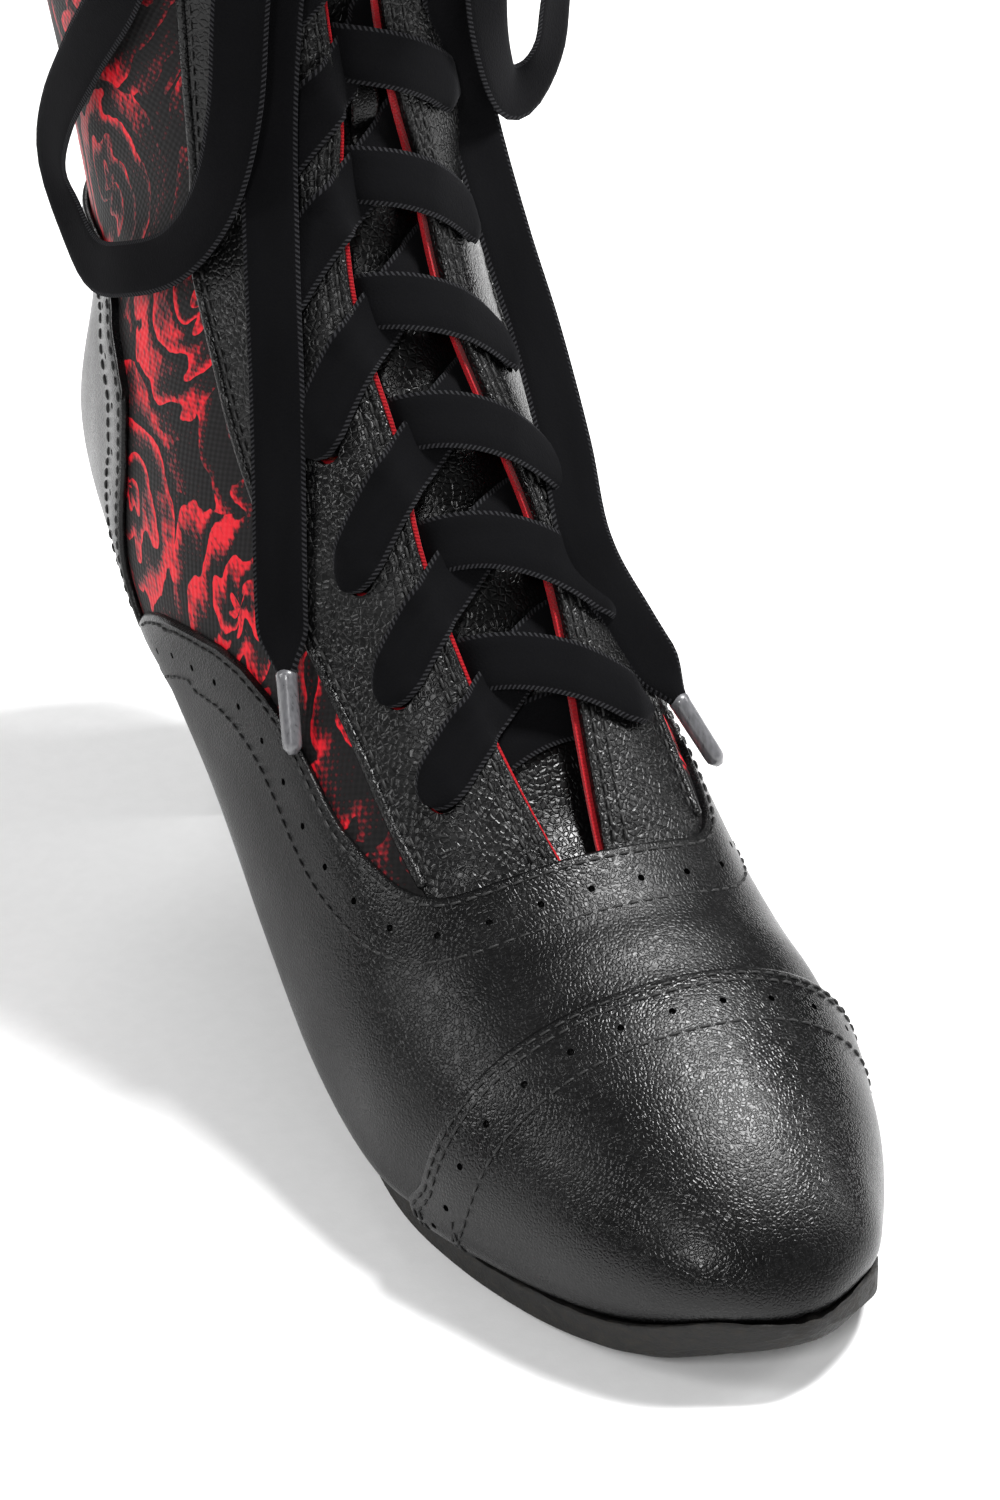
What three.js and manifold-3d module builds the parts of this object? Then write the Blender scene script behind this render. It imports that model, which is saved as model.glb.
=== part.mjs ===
// A right-foot lace-up ankle boot with a curved heel, drawn on a graded shoe last.
// Millimetres, +Z up, toe towards -Y, inner (medial) side towards +X.
// The origin is on the floor at the middle of the tread, under the ball of the foot.
import * as THREE from 'three';
import { mergeVertices } from 'three/addons/utils/BufferGeometryUtils.js';
import Module from 'manifold-3d';

const wasm = await Module();
wasm.setup();

// ---------------------------------------------------------------- driving dimensions
const LAST_LENGTH = 238;          // toe tip to the back of the heel
const BALL_WIDTH = 79;            // across the ball of the foot
const BOOT_RISE = 251.7;          // from the top of the outsole to the top of the shaft
const UPPER_THICKNESS = 1.4;
const STIFFENER_THICKNESS = 0.8;
const LINING_THICKNESS = 0.9;
const BOARD_THICKNESS = 2.4;
const SOCK_THICKNESS = 1.5;
const OUTSOLE_THICKNESS = 4.0;
const TREAD_FLAT = 1.2;           // extra sole thickness that lets the tread lie flat on the floor
const OUTSOLE_PROUD = 2.6;        // how far the sole edge stands out past the toe
const TOP_PIECE_HEIGHT = 6;       // rubber tip of the heel
const HEEL_SEAT_WIDTH = 52;
const HEEL_TIP_WIDTH = 24;
const HEEL_TIP_LENGTH = 33;
const HEEL_TIP_BACK = 160;        // back of the heel tip, from the origin
const SHANK_WIDTH = 13;
const SHANK_THICKNESS = 1.5;
const SCREW_RADIUS = 2.2;
const NAIL_RADIUS = 0.9;
const BORE_CLEARANCE = 0.3;       // round a screw or nail
const FIT_GAP = 0.3;              // between pieces that touch
const LAYER_GAP = 0.45;           // between curved sheets that lie on each other
const EYELET_ROWS = 10;
const EYELET_RADIUS = 2.8;
const EYELET_INSET = 12;          // from a facing's inner edge to its eyelet holes
const FIRST_EYELET_OUTER = 108;   // distances along the front line from the toe tip
const FIRST_EYELET_INNER = 117;
const EYELET_PITCH = 20.6;
const LACE_THICKNESS = 0.8;
const LACE_WIDTH = 5.5;           // gathered width where the lace is threaded
const LACE_NECK = 3.4;            // width squeezed through an eyelet hole
const RIBBON_WIDTH = 9.5;         // open width of the free ends and the bow
const RIBBON_THICKNESS = 1.0;
const TONGUE_THICKNESS = 1.3;
const TONGUE_HALF_WIDTH = 21;
const COLLAR_HEIGHT = 5;
const BACK_STRIP_HALF = 8;
const MARGIN_ANGLE = 145;         // degrees round the last to the lasted edge, under the foot
const STRAP_HALF_WIDTH = 3.2;     // lace keeper on the tongue

// ---------------------------------------------------------------- the last
// Each row is one slanted section of the last, from the toe tip to the shaft top. Its top
// point lies on the front line, its bottom point on the sole line or the back seam.
// Heights count from the top of the outsole. "middle" is how far up the widest place lies.
const PATTERN = { length: 238, width: 79, rise: 251.7 };
const LAST = [
  { top: [-67, 11.2], bottom: [-67, 11.2], x: 8.3, half: 0, lean: 0, middle: 0.5, round: [2.2, 2.2] },
  { top: [-62, 21.2], bottom: [-61, 7], x: 7, half: 15, lean: 0, middle: 0.42, round: [2.2, 2.4] },
  { top: [-50, 30.2], bottom: [-50.5, 2.3], x: 5.6, half: 24.3, lean: 0, middle: 0.36, round: [2.2, 3] },
  { top: [-33.5, 38.2], bottom: [-36, 0.1], x: 4.6, half: 32, lean: 1, middle: 0.33, round: [2.2, 3.6] },
  { top: [-14, 45], bottom: [-19, 0], x: 2.7, half: 37.6, lean: 2, middle: 0.3, round: [2.2, 4] },
  { top: [5, 52.7], bottom: [0, 0.3], x: 0, half: 39.5, lean: 3, middle: 0.28, round: [2.1, 4] },
  { top: [23, 68.7], bottom: [24, 3.3], x: -1.3, half: 39, lean: 3, middle: 0.27, round: [2, 4] },
  { top: [38, 89.7], bottom: [51, 10.7], x: -2.4, half: 37, lean: 3, middle: 0.28, round: [1.9, 3.6] },
  { top: [52, 110.7], bottom: [83, 25.7], x: -4, half: 35, lean: 3, middle: 0.3, round: [1.9, 3.2] },
  { top: [66, 129.7], bottom: [126, 43.7], x: -6, half: 34.3, lean: 2, middle: 0.36, round: [1.95, 3] },
  { top: [75, 145.7], bottom: [166, 57.7], x: -5, half: 33, lean: 1, middle: 0.45, round: [2, 2.6] },
  { top: [81, 159.7], bottom: [171, 85.7], x: -3, half: 30.6, lean: 0, middle: 0.5, round: [2.1, 2.2] },
  { top: [86, 175.7], bottom: [167, 118.7], x: -2.6, half: 34.2, lean: 0, middle: 0.5, round: [2.1, 2.1] },
  { top: [86, 192.7], bottom: [169, 152.7], x: -2.6, half: 38.3, lean: 0, middle: 0.5, round: [2.1, 2.1] },
  { top: [82.5, 212.2], bottom: [172.6, 187.7], x: -2.6, half: 41.7, lean: 0, middle: 0.5, round: [2.1, 2.1] },
  { top: [77.5, 231.7], bottom: [177, 221.7], x: -2.6, half: 44.7, lean: 0, middle: 0.5, round: [2.1, 2.1] },
  { top: [72, 251.7], bottom: [182, 251.7], x: -2.6, half: 47.6, lean: 0, middle: 0.5, round: [2.1, 2.1] },
  { top: [66.5, 271.7], bottom: [187, 281.7], x: -2.6, half: 50.5, lean: 0, middle: 0.5, round: [2.1, 2.1] },
];
const SHAFT_TOP = LAST.length - 2;   // station of the top edge; the last row only carries on the slope
const SOLE_TOP = OUTSOLE_THICKNESS + FIT_GAP;
const MARGIN = THREE.MathUtils.degToRad(MARGIN_ANGLE);

// Offsets of each layer from the outer surface, as [inner face, outer face].
const UPPER = [-UPPER_THICKNESS, 0];
const STIFFENER = below(UPPER, STIFFENER_THICKNESS);
const LINING = below(STIFFENER, LINING_THICKNESS);
const BOARD = below(LINING, BOARD_THICKNESS);
const SOCK = below(BOARD, SOCK_THICKNESS);
const FILLER = [LINING[0], 0];
const LACE_OVER = 0.8 + LACE_THICKNESS / 2;
const LACE_UNDER = LINING[0] - 0.8 - LACE_THICKNESS / 2;
const TONGUE_FACE = LACE_UNDER - LACE_THICKNESS / 2 - 0.8;

function below(layer, thickness) {
  return [layer[0] - LAYER_GAP - thickness, layer[0] - LAYER_GAP];
}

function rowValues(row) {
  const long = LAST_LENGTH / PATTERN.length;
  const wide = BALL_WIDTH / PATTERN.width;
  const high = BOOT_RISE / PATTERN.rise;
  return [
    row.top[0] * long, SOLE_TOP + row.top[1] * high, row.bottom[0] * long, SOLE_TOP + row.bottom[1] * high,
    row.x * wide, row.half * wide, row.lean * wide, row.middle, ...row.round,
  ];
}

// Past the toe tip the sections carry on mirrored, so that the tip closes smoothly.
const ROWS = LAST.map(rowValues);
const [topY, topZ, bottomY, bottomZ, xMid, halfWidth, ...rest] = ROWS[1];
const BEFORE_TOE = [bottomY, bottomZ, topY, topZ, xMid, -halfWidth, ...rest];

function spline(a, b, c, d, t) {
  return 0.5 * (2 * b + (c - a) * t + (2 * a - 5 * b + 4 * c - d) * t * t + (3 * b - a - 3 * c + d) * t * t * t);
}

function station(u) {
  const i = Math.min(Math.max(Math.floor(u), 0), ROWS.length - 2);
  const before = i > 0 ? ROWS[i - 1] : BEFORE_TOE;
  const after = ROWS[i + 2] ?? ROWS[i + 1].map((value, k) => 2 * value - ROWS[i][k]);
  return before.map((value, k) => spline(value, ROWS[i][k], ROWS[i + 1][k], after[k], u - i));
}

// A point of the last at station u and angle from the front line, positive towards +X.
function lastPoint(u, angle) {
  const [ty, tz, by, bz, x, half, lean, middle, roundTop, roundBottom] = station(u);
  const c = Math.cos(angle);
  const s = Math.sin(angle);
  const n = c >= 0 ? roundTop : roundBottom;
  const radius = (Math.abs(c) ** n + Math.abs(s) ** n) ** (-1 / n);
  const h = middle + (c >= 0 ? 1 - middle : middle) * c * radius;
  return new THREE.Vector3(x + half * s * radius + lean * h, by + (ty - by) * h, bz + (tz - bz) * h);
}

const TOE_TIP = lastPoint(0, 0);
const TOE_NORMAL = new THREE.Vector3(0.05, -0.98, -0.2).normalize();

// Outward normal, and the direction along the boot away from the toe.
function lastNormal(u, angle) {
  const step = 0.01;
  const low = Math.max(u - step, 0.02);
  const along = lastPoint(Math.max(u + step, low + step), angle).sub(lastPoint(low, angle));
  const around = lastPoint(Math.max(u, 0.02), angle + step).sub(lastPoint(Math.max(u, 0.02), angle - step));
  return { normal: around.cross(along).normalize(), along: along.normalize() };
}

function skin(u, angle, offset) {
  if (u < 1e-6) return TOE_TIP.clone().addScaledVector(TOE_NORMAL, offset);
  return lastPoint(u, angle).addScaledVector(lastNormal(u, angle).normal, offset);
}

// Angles by distance round the section from the front line, on either side.
const GIRTH_STEPS = 60;
const girths = new Map();

function girth(u, side) {
  const key = `${side} ${u.toFixed(3)}`;
  if (!girths.has(key)) {
    const lengths = [0];
    for (let i = 1; i <= GIRTH_STEPS; i += 1) {
      const here = lastPoint(u, side * Math.PI * i / GIRTH_STEPS);
      lengths.push(lengths[i - 1] + here.distanceTo(lastPoint(u, side * Math.PI * (i - 1) / GIRTH_STEPS)));
    }
    girths.set(key, lengths);
  }
  return girths.get(key);
}

function angleAtDistance(u, distance) {
  const lengths = girth(u, Math.sign(distance) || 1);
  const wanted = Math.min(Math.abs(distance), lengths[GIRTH_STEPS]);
  let i = 1;
  while (i < GIRTH_STEPS && lengths[i] < wanted) i += 1;
  const share = (wanted - lengths[i - 1]) / (lengths[i] - lengths[i - 1]);
  return Math.sign(distance) * Math.PI * (i - 1 + share) / GIRTH_STEPS;
}

function angleAtShare(u, share) {
  return angleAtDistance(u, share * girth(u, Math.sign(share) || 1)[GIRTH_STEPS]);
}

// Station by distance along the front line from the toe tip.
const FRONT_STEPS = 20;
const frontLengths = [0];
for (let i = 1; i <= (LAST.length - 1) * FRONT_STEPS; i += 1) {
  const step = lastPoint(i / FRONT_STEPS, 0).distanceTo(lastPoint((i - 1) / FRONT_STEPS, 0));
  frontLengths.push(frontLengths[i - 1] + step);
}

function stationAt(distance) {
  let i = 1;
  while (i < frontLengths.length - 1 && frontLengths[i] < distance) i += 1;
  return (i - 1 + (distance - frontLengths[i - 1]) / (frontLengths[i] - frontLengths[i - 1])) / FRONT_STEPS;
}

// Straight lines between [x, y] points, held level past the ends.
function through(points) {
  return (x) => {
    if (x <= points[0][0]) return points[0][1];
    for (let i = 1; i < points.length; i += 1) {
      const [x0, y0] = points[i - 1];
      const [x1, y1] = points[i];
      if (x <= x1) return y0 + (y1 - y0) * (x - x0) / (x1 - x0);
    }
    return points[points.length - 1][1];
  };
}

const mix = THREE.MathUtils.lerp;

// ---------------------------------------------------------------- pattern lines
// Toe cap seam: station by angle. It curves back towards the sides.
const SEAM_GAP = 0.012;
function capStation(angle) {
  return stationAt(62) + 0.55 * Math.min(Math.abs(angle) / 1.9, 1) ** 2.2;
}

// Top edge of the vamp: station by share of the half girth. It dips round the facings,
// rises along the side and ends in a wing at WING_STATION.
const WING_STATION = 8.8;
const VAMP_KNOTS = [
  [0, 5.12], [0.07, 5.13], [0.13, 5.17], [0.18, 5.25], [0.22, 5.34], [0.26, 5.6], [0.29, 5.95], [0.33, 6.5],
  [0.37, 7.3], [0.45, 8.02], [0.56, 8.5], [0.64, 8.72], [0.7, WING_STATION],
];
const vampEdge = through(VAMP_KNOTS);
// Heel counter: its front edge and its top edge, station by share.
const COUNTER_SHARES = [0.45, 0.46, 0.53, 0.6, 0.67, 0.73, 0.8, 0.87, 0.94, 1];
const counterFront = through([[0.45, 9.8], [0.46, 9.62], [0.53, 9.3], [0.6, 9.17], [0.67, 9], [0.7, WING_STATION]]);
const COUNTER_TOP = 12.1;
const counterTop = through([
  [0.45, 10.1], [0.46, 10.4], [0.53, 10.85], [0.6, 11.15], [0.67, 11.45], [0.8, 11.8], [0.94, COUNTER_TOP],
]);
// Rear edge of a quarter: share by station, up the vamp edge, round the counter and over it.
const quarterRear = through([
  ...VAMP_KNOTS.slice(4, -1).map(([share, u]) => [u, share]),
  [8.85, 0.685], [9, 0.67], [9.17, 0.6], [9.3, 0.53], [9.62, 0.46], [9.8, 0.45], [10.1, 0.45],
  [10.4, 0.46], [10.85, 0.53], [11.15, 0.6], [11.45, 0.67], [11.8, 0.8], [COUNTER_TOP, 0.94],
]);
// Stations of the rows that every sheet of the leg shares, so that their facets stay parallel.
const SEAT_CLOSES = 9.8;    // past this station the upper closes under the back of the heel
const SEAT_BACK = 9.93;
const LEG_ROWS = [
  5.6, 5.95, 6.5, 7.3, 8.02, 8.5, 8.72, 8.85, 9, 9.17, 9.3, 9.62, SEAT_CLOSES, SEAT_BACK, 10.1, 10.4, 10.85,
  11.15, 11.45, 11.8, COUNTER_TOP, 13, 14, 15,
];
const INNER_ROWS = LEG_ROWS.filter((u) => ![8.72, 9, 9.17].includes(u));
// Facings: half the gap between them in millimetres, its sideways shift, and the outer edge share.
const halfGap = through([[5.1, 4], [6.5, 9.8], [7.4, 12], [8.2, 10.2], [10, 8.4], [11.6, 5], [16, 6]]);
const gapShift = through([[5.1, 0], [6.5, 1], [8.5, 1.5], [10, 2.5], [11.6, 0.5], [13, 0]]);
const facingEdge = through([
  [5.3, 0.24], [6.5, 0.258], [7.3, 0.285], [7.9, 0.305], [8.5, 0.285], [9.6, 0.246], [11, 0.245], [12.5, 0.23], [16, 0.21],
]);

function gapEdge(u, side) {
  return gapShift(u) + side * halfGap(u);
}

// ---------------------------------------------------------------- solids
function volume(geometry) {
  const p = geometry.attributes.position;
  const corners = [new THREE.Vector3(), new THREE.Vector3(), new THREE.Vector3()];
  let total = 0;
  for (let i = 0; i < geometry.index.count; i += 3) {
    corners.forEach((corner, k) => corner.fromBufferAttribute(p, geometry.index.getX(i + k)));
    total += corners[0].dot(corners[1].clone().cross(corners[2]));
  }
  return total / 6;
}

// Merges shared corners, drops collapsed triangles and turns the faces outwards.
function closed(geometry) {
  geometry.deleteAttribute('normal');
  geometry.deleteAttribute('uv');
  const merged = mergeVertices(geometry, 1e-4);
  const kept = [];
  for (let i = 0; i < merged.index.count; i += 3) {
    const [a, b, c] = [0, 1, 2].map((k) => merged.index.getX(i + k));
    if (a !== b && b !== c && a !== c) kept.push(a, b, c);
  }
  merged.setIndex(kept);
  if (volume(merged) < 0) merged.setIndex(kept.reverse());
  return merged;
}

// A box of nu by nv by nw cells whose corners, as shares from 0 to 1, go where map sends them.
function warped(nu, nv, nw, map) {
  const box = new THREE.BoxGeometry(1, 1, 1, nu, nv, nw);
  const p = box.attributes.position;
  for (let i = 0; i < p.count; i += 1) {
    const { x, y, z } = map(p.getX(i) + 0.5, p.getY(i) + 0.5, p.getZ(i) + 0.5);
    p.setXYZ(i, x, y, z);
  }
  return closed(box);
}

// A sheet on the last over lists of columns and rows: place(column, row) gives [station, angle].
function sheet(columns, rows, layer, place) {
  return warped(columns.length - 1, rows.length - 1, 1, (a, b, c) => {
    const column = columns[Math.round(a * (columns.length - 1))];
    const row = rows[Math.round(b * (rows.length - 1))];
    const [u, angle] = place(column, row);
    return skin(u, angle, mix(layer[0], layer[1], c));
  });
}

// Evenly spaced values from start to end.
function spread(start, end, count) {
  return Array.from({ length: count + 1 }, (_, i) => mix(start, end, i / count));
}

function toManifold(geometry) {
  const clean = geometry.index && !geometry.attributes.normal ? geometry : closed(geometry);
  return new wasm.Manifold(new wasm.Mesh({
    numProp: 3,
    vertProperties: Float32Array.from(clean.attributes.position.array),
    triVerts: Uint32Array.from(clean.index.array),
  }));
}

function fromManifold(manifold) {
  const mesh = manifold.getMesh();
  const geometry = new THREE.BufferGeometry();
  geometry.setAttribute('position', new THREE.BufferAttribute(mesh.vertProperties, 3));
  geometry.setIndex(new THREE.BufferAttribute(mesh.triVerts, 1));
  return geometry;
}

function drilled(geometry, cutters) {
  const whole = cutters.reduce((left, cutter) => left.subtract(toManifold(cutter)), toManifold(geometry));
  return fromManifold(whole.simplify(0.02));
}

// A round rod between two points.
function rod(from, to, radius, sides = 12) {
  const axis = to.clone().sub(from);
  const cylinder = new THREE.CylinderGeometry(radius, radius, axis.length(), sides);
  cylinder.applyQuaternion(new THREE.Quaternion().setFromUnitVectors(new THREE.Vector3(0, 1, 0), axis.normalize()));
  const middle = from.clone().add(to).multiplyScalar(0.5);
  return closed(cylinder.translate(middle.x, middle.y, middle.z));
}

// A flat strip along points, each with a position, a width direction and a width.
function strip(stops, thickness) {
  return warped(stops.length - 1, 1, 1, (a, b, c) => {
    const stop = stops[Math.round(a * (stops.length - 1))];
    const flat = stop.across.clone().cross(stop.along).normalize();
    return stop.point.clone().addScaledVector(stop.across, (b - 0.5) * stop.width).addScaledVector(flat, (c - 0.5) * thickness);
  });
}

// ---------------------------------------------------------------- materials
const LEATHER = { color: 0x1b1a19, roughness: 0.5 };
const GRAINED = { color: 0x161616, roughness: 0.38 };
const BROCADE = { color: 0x3a0d12, roughness: 0.7 };
const RED_LINING = { color: 0xb01020, roughness: 0.8 };
const STIFF_BOARD = { color: 0xb9a07a, roughness: 0.9 };
const SOCK_CLOTH = { color: 0x24201f, roughness: 0.8 };
const SOLE_RUBBER = { color: 0x161514, roughness: 0.85 };
const HEEL_PLASTIC = { color: 0x141313, roughness: 0.35 };
const STEEL = { color: 0x9a9ca0, roughness: 0.35, metalness: 1 };
const CORK = { color: 0x9c7446, roughness: 0.95 };
const VELVET = { color: 0x0b0b0c, roughness: 0.95 };
const AGLET = { color: 0x77787a, roughness: 0.3 };

const boot = new THREE.Group();

function add(name, geometry, finish) {
  const mesh = new THREE.Mesh(geometry, new THREE.MeshStandardMaterial(finish));
  mesh.name = name;
  boot.add(mesh);
}

// ---------------------------------------------------------------- upper
const COLLAR_STATION = SHAFT_TOP - COLLAR_HEIGHT / lastPoint(SHAFT_TOP, 0).distanceTo(lastPoint(SHAFT_TOP - 1, 0));
const UPPER_END = COLLAR_STATION - 0.015;
const UPPER_ROWS = [...LEG_ROWS, UPPER_END];
const EDGE_SHARE = 0.006;      // clearance between neighbouring edges, as a share of the half girth

// Columns of the forepart: angles where the vamp's top edge bends, and on to the lasted edge.
const sideAngles = VAMP_KNOTS.map(([share, u]) => angleAtShare(u, share));
const wingAngle = sideAngles[sideAngles.length - 1];
const halfColumns = [...sideAngles, ...spread(wingAngle, MARGIN, 3).slice(1)];
const VAMP_COLUMNS = [...halfColumns.slice(1).reverse().map((angle) => -angle), ...halfColumns];
const coarse = halfColumns.filter((_, i) => ![1, 3, 5, 7, 11].includes(i));
const TOE_COLUMNS = [...coarse.slice(1).reverse().map((angle) => -angle), ...coarse];
const TOE_ROWS = spread(0, 1, 5);

function toeCap() {
  return sheet(VAMP_COLUMNS, TOE_ROWS, UPPER, (angle, b) => [b * capStation(angle), angle]);
}

function vamp() {
  return sheet(VAMP_COLUMNS, spread(0, 1, 5), UPPER, (angle, b) => {
    const knot = halfColumns.findIndex((value) => Math.abs(value - Math.abs(angle)) < 1e-9);
    const high = knot < VAMP_KNOTS.length ? VAMP_KNOTS[knot][1] : WING_STATION;
    return [mix(capStation(angle) + SEAM_GAP, high, b), angle];
  });
}

function quarter(side) {
  return sheet(spread(0, 1, 5), UPPER_ROWS, UPPER, (a, u) => {
    const front = facingEdge(u) + EDGE_SHARE;
    const backStripEdge = 1 - (BACK_STRIP_HALF + FIT_GAP) / girth(u, side)[GIRTH_STEPS];
    const rear = Math.max(Math.min(quarterRear(u) - 1.6 * EDGE_SHARE, backStripEdge), front + EDGE_SHARE);
    return [u, angleAtShare(u, side * mix(front, rear, a))];
  });
}

const FACING_INSETS = [0, 6, EYELET_INSET, 18];

function facing(side) {
  const plain = sheet([...FACING_INSETS, Infinity], [0, ...INNER_ROWS, UPPER_END], UPPER, (inset, row) => {
    const share = Math.min(0.045 + inset / 110, 0.25);
    const u = row || vampEdge(share) + 2 * SEAM_GAP;
    const outer = facingEdge(u) * girth(u, side)[GIRTH_STEPS];
    return [u, angleAtDistance(u, side * Math.min(side * gapEdge(u, side) + inset, outer))];
  });
  return drilled(plain, eyeletCutters(side));
}

// An angle on the heel or leg: under the foot it stops at the lasted edge.
function wallAngle(u, share) {
  const angle = Math.abs(share) === 1 ? Math.sign(share) * Math.PI : angleAtShare(u, share);
  const limited = u > SEAT_CLOSES ? Math.abs(angle) : Math.min(Math.abs(angle), MARGIN);
  return Math.sign(share) * limited;
}

// Places round the heel from one front edge to the other; the seat under the heel stays open.
function counterPlace(share, row, drop) {
  const size = Math.abs(share);
  const low = size > 0.9 ? SEAT_BACK : counterFront(size) + SEAM_GAP;
  const u = Math.min(Math.max(row, low), counterTop(size) - drop);
  const angle = wallAngle(u, share);
  return [u, angle < 0 ? angle + 2 * Math.PI : angle];
}

function roundHeel(shares) {
  return [...shares, ...shares.slice(0, -1).reverse().map((share) => -share)];
}

const COUNTER_ROWS = [8.6, ...LEG_ROWS.filter((u) => u > 8.8 && u <= COUNTER_TOP)];

function heelCounter() {
  const plain = sheet(roundHeel(COUNTER_SHARES), COUNTER_ROWS, UPPER, (share, u) => counterPlace(share, u, 0));
  return drilled(plain, fastenerCutters());
}

function backStrip() {
  const rows = [COUNTER_TOP + SEAM_GAP, ...UPPER_ROWS.filter((u) => u > COUNTER_TOP)];
  return sheet(spread(-1, 1, 4), rows, UPPER, (a, u) => (
    [u, Math.PI + a * BACK_STRIP_HALF / girth(u, 1)[GIRTH_STEPS] * Math.PI]
  ));
}

function collar() {
  return sheet(spread(0, 1, 30), [COLLAR_STATION, SHAFT_TOP], [LINING[0], 0.5], (a, u) => {
    const start = angleAtDistance(u, gapEdge(u, 1));
    const end = angleAtDistance(u, gapEdge(u, -1)) + 2 * Math.PI;
    return [u, mix(start, end, a)];
  });
}

// ---------------------------------------------------------------- inside the upper
const THROAT = 5.1;         // station where the vamp lining ends and the quarter linings start

function vampLining() {
  return sheet(TOE_COLUMNS, [...TOE_ROWS, 2], LINING, (angle, row) => {
    const u = row <= 1 ? row * capStation(angle) : THROAT - 3 * SEAM_GAP;
    return [u, angle];
  });
}

const LINING_SHARES = [0.34, 0.45, 0.53, 0.67, 0.8, 0.87, 0.94, 0.998];

function quarterLining(side) {
  const columns = [...FACING_INSETS.map((inset) => -inset), ...LINING_SHARES];
  if (side > 0) columns.reverse();   // so that its facets fold the same way as the stiffener's
  const plain = sheet(columns, [THROAT, ...INNER_ROWS, UPPER_END], LINING, (column, u) => {
    if (column <= 0) return [u, angleAtDistance(u, gapEdge(u, side) - side * column)];
    return [u, wallAngle(u, side * column)];
  });
  return drilled(plain, [...eyeletCutters(side), ...fastenerCutters()]);
}

function toePuff() {
  return sheet(TOE_COLUMNS, TOE_ROWS.slice(0, -1), STIFFENER, (angle, b) => [b * capStation(angle), angle]);
}

function heelStiffener() {
  const shares = COUNTER_SHARES.filter((share) => share > 0.5);
  const plain = sheet(roundHeel(shares), COUNTER_ROWS, STIFFENER, (share, u) => counterPlace(share, u, 0.5));
  return drilled(plain, fastenerCutters());
}

// The tongue starts behind the vamp lining and drops clear of the lacing's lowest stretch.
const TONGUE_START = 4.85;
const TONGUE_BASE = LINING[0] - 0.9;

function tongue() {
  const rows = [TONGUE_START, 5.1, 5.35, ...INNER_ROWS, UPPER_END, SHAFT_TOP + 0.5];
  const columns = spread(-TONGUE_HALF_WIDTH, TONGUE_HALF_WIDTH, 6);
  return warped(columns.length - 1, rows.length - 1, 1, (a, b, c) => {
    const u = rows[Math.round(b * (rows.length - 1))];
    const sink = THREE.MathUtils.smoothstep(u, 5.1, 5.55);
    const face = mix(TONGUE_BASE, TONGUE_FACE, sink);
    const angle = angleAtDistance(u, gapShift(u) + columns[Math.round(a * (columns.length - 1))]);
    return skin(u, angle, face - (1 - c) * TONGUE_THICKNESS);
  });
}

function laceKeeper() {
  const layer = [TONGUE_FACE + FIT_GAP, TONGUE_FACE + FIT_GAP + 0.9];
  return sheet([-1, 0, 1], spread(10.6, 11.45, 4), layer, (a, u) => (
    [u, angleAtDistance(u, a * STRAP_HALF_WIDTH + 1.5)]
  ));
}

// ---------------------------------------------------------------- bottom
const FLOOR_HALF = Math.PI - MARGIN - 0.03;
const FLOOR_ROWS = [1.5, 2.2, 3, 4, 5, 6, 6.5, 7.2, 8, 8.5, 9, 9.3, 9.55, 9.75];
const SHANK_START = 6.5;

function floorSheet(layer, rows) {
  return sheet(spread(-1, 1, 4), rows, layer, (a, u) => [u, Math.PI + a * FLOOR_HALF]);
}

function steelShank() {
  const layer = [FILLER[0], FILLER[0] + SHANK_THICKNESS];
  return sheet([-1, 0, 1], spread(SHANK_START + 0.05, 9.3, 8), layer, (a, u) => {
    const halfAngle = Math.PI - angleAtDistance(u, girth(u, 1)[GIRTH_STEPS] - SHANK_WIDTH / 2);
    return [u, Math.PI + a * halfAngle];
  });
}

// Height of the sole line, and the half width of the sole, by station.
function soleLine(u) {
  const p = station(u);
  return { x: p[4], y: p[2], z: p[3], half: p[5] };
}

const soleShare = through([[0, 1], [3, 1], [4, 0.97], [5, 0.92], [6, 0.85], [7, 0.76], [8, 0.7], [9, 0.78]]);
const HEEL_BACK = 166.5 * LAST_LENGTH / PATTERN.length;
const HEEL_ROUND_START = 122 * LAST_LENGTH / PATTERN.length;

function seatHalfWidth(y) {
  const share = Math.min(Math.max((y - HEEL_ROUND_START) / (HEEL_BACK - HEEL_ROUND_START), 0), 1);
  return HEEL_SEAT_WIDTH / 2 * (1 - share ** 2.4) ** (1 / 2.4);
}

function outsolePlate() {
  const end = 9.98;
  return warped(5, 26, 1, (a, b, c) => {
    const u = end * Math.sin(b * Math.PI / 2) ** 1.15;
    const line = soleLine(Math.max(u, 0));
    const toe = Math.exp(-1.3 * u);
    const y = line.y - OUTSOLE_PROUD * toe;
    const bulge = line.half * soleShare(u) + OUTSOLE_PROUD * (1 - Math.exp(-2.5 * u)) * Math.exp(-u / 5);
    const half = y > HEEL_ROUND_START ? Math.min(seatHalfWidth(y), bulge) : bulge;
    const top = line.z - FIT_GAP;
    const z = c > 0.5 ? top : Math.max(0, top - OUTSOLE_THICKNESS - TREAD_FLAT * Math.exp(-((u - 4.5) ** 2)));
    return new THREE.Vector3(line.x + (2 * a - 1) * half, y, z);
  });
}

function outsole() {
  return drilled(outsolePlate(), fastenerCutters());
}

// Underside of the outsole over the heel, by distance from the origin.
function seatHeight(y) {
  let low = 7;
  let high = 10;
  for (let i = 0; i < 24; i += 1) {
    const middle = (low + high) / 2;
    if (soleLine(middle).y < y) low = middle;
    else high = middle;
  }
  return soleLine(low).z - FIT_GAP - OUTSOLE_THICKNESS - FIT_GAP;
}

const HEEL_X = -2 * BALL_WIDTH / PATTERN.width;
const BREAST_TOP = 104 * LAST_LENGTH / PATTERN.length;
const TIP_BACK = HEEL_TIP_BACK * LAST_LENGTH / PATTERN.length;
const TIP_FRONT = TIP_BACK - HEEL_TIP_LENGTH;

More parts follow.
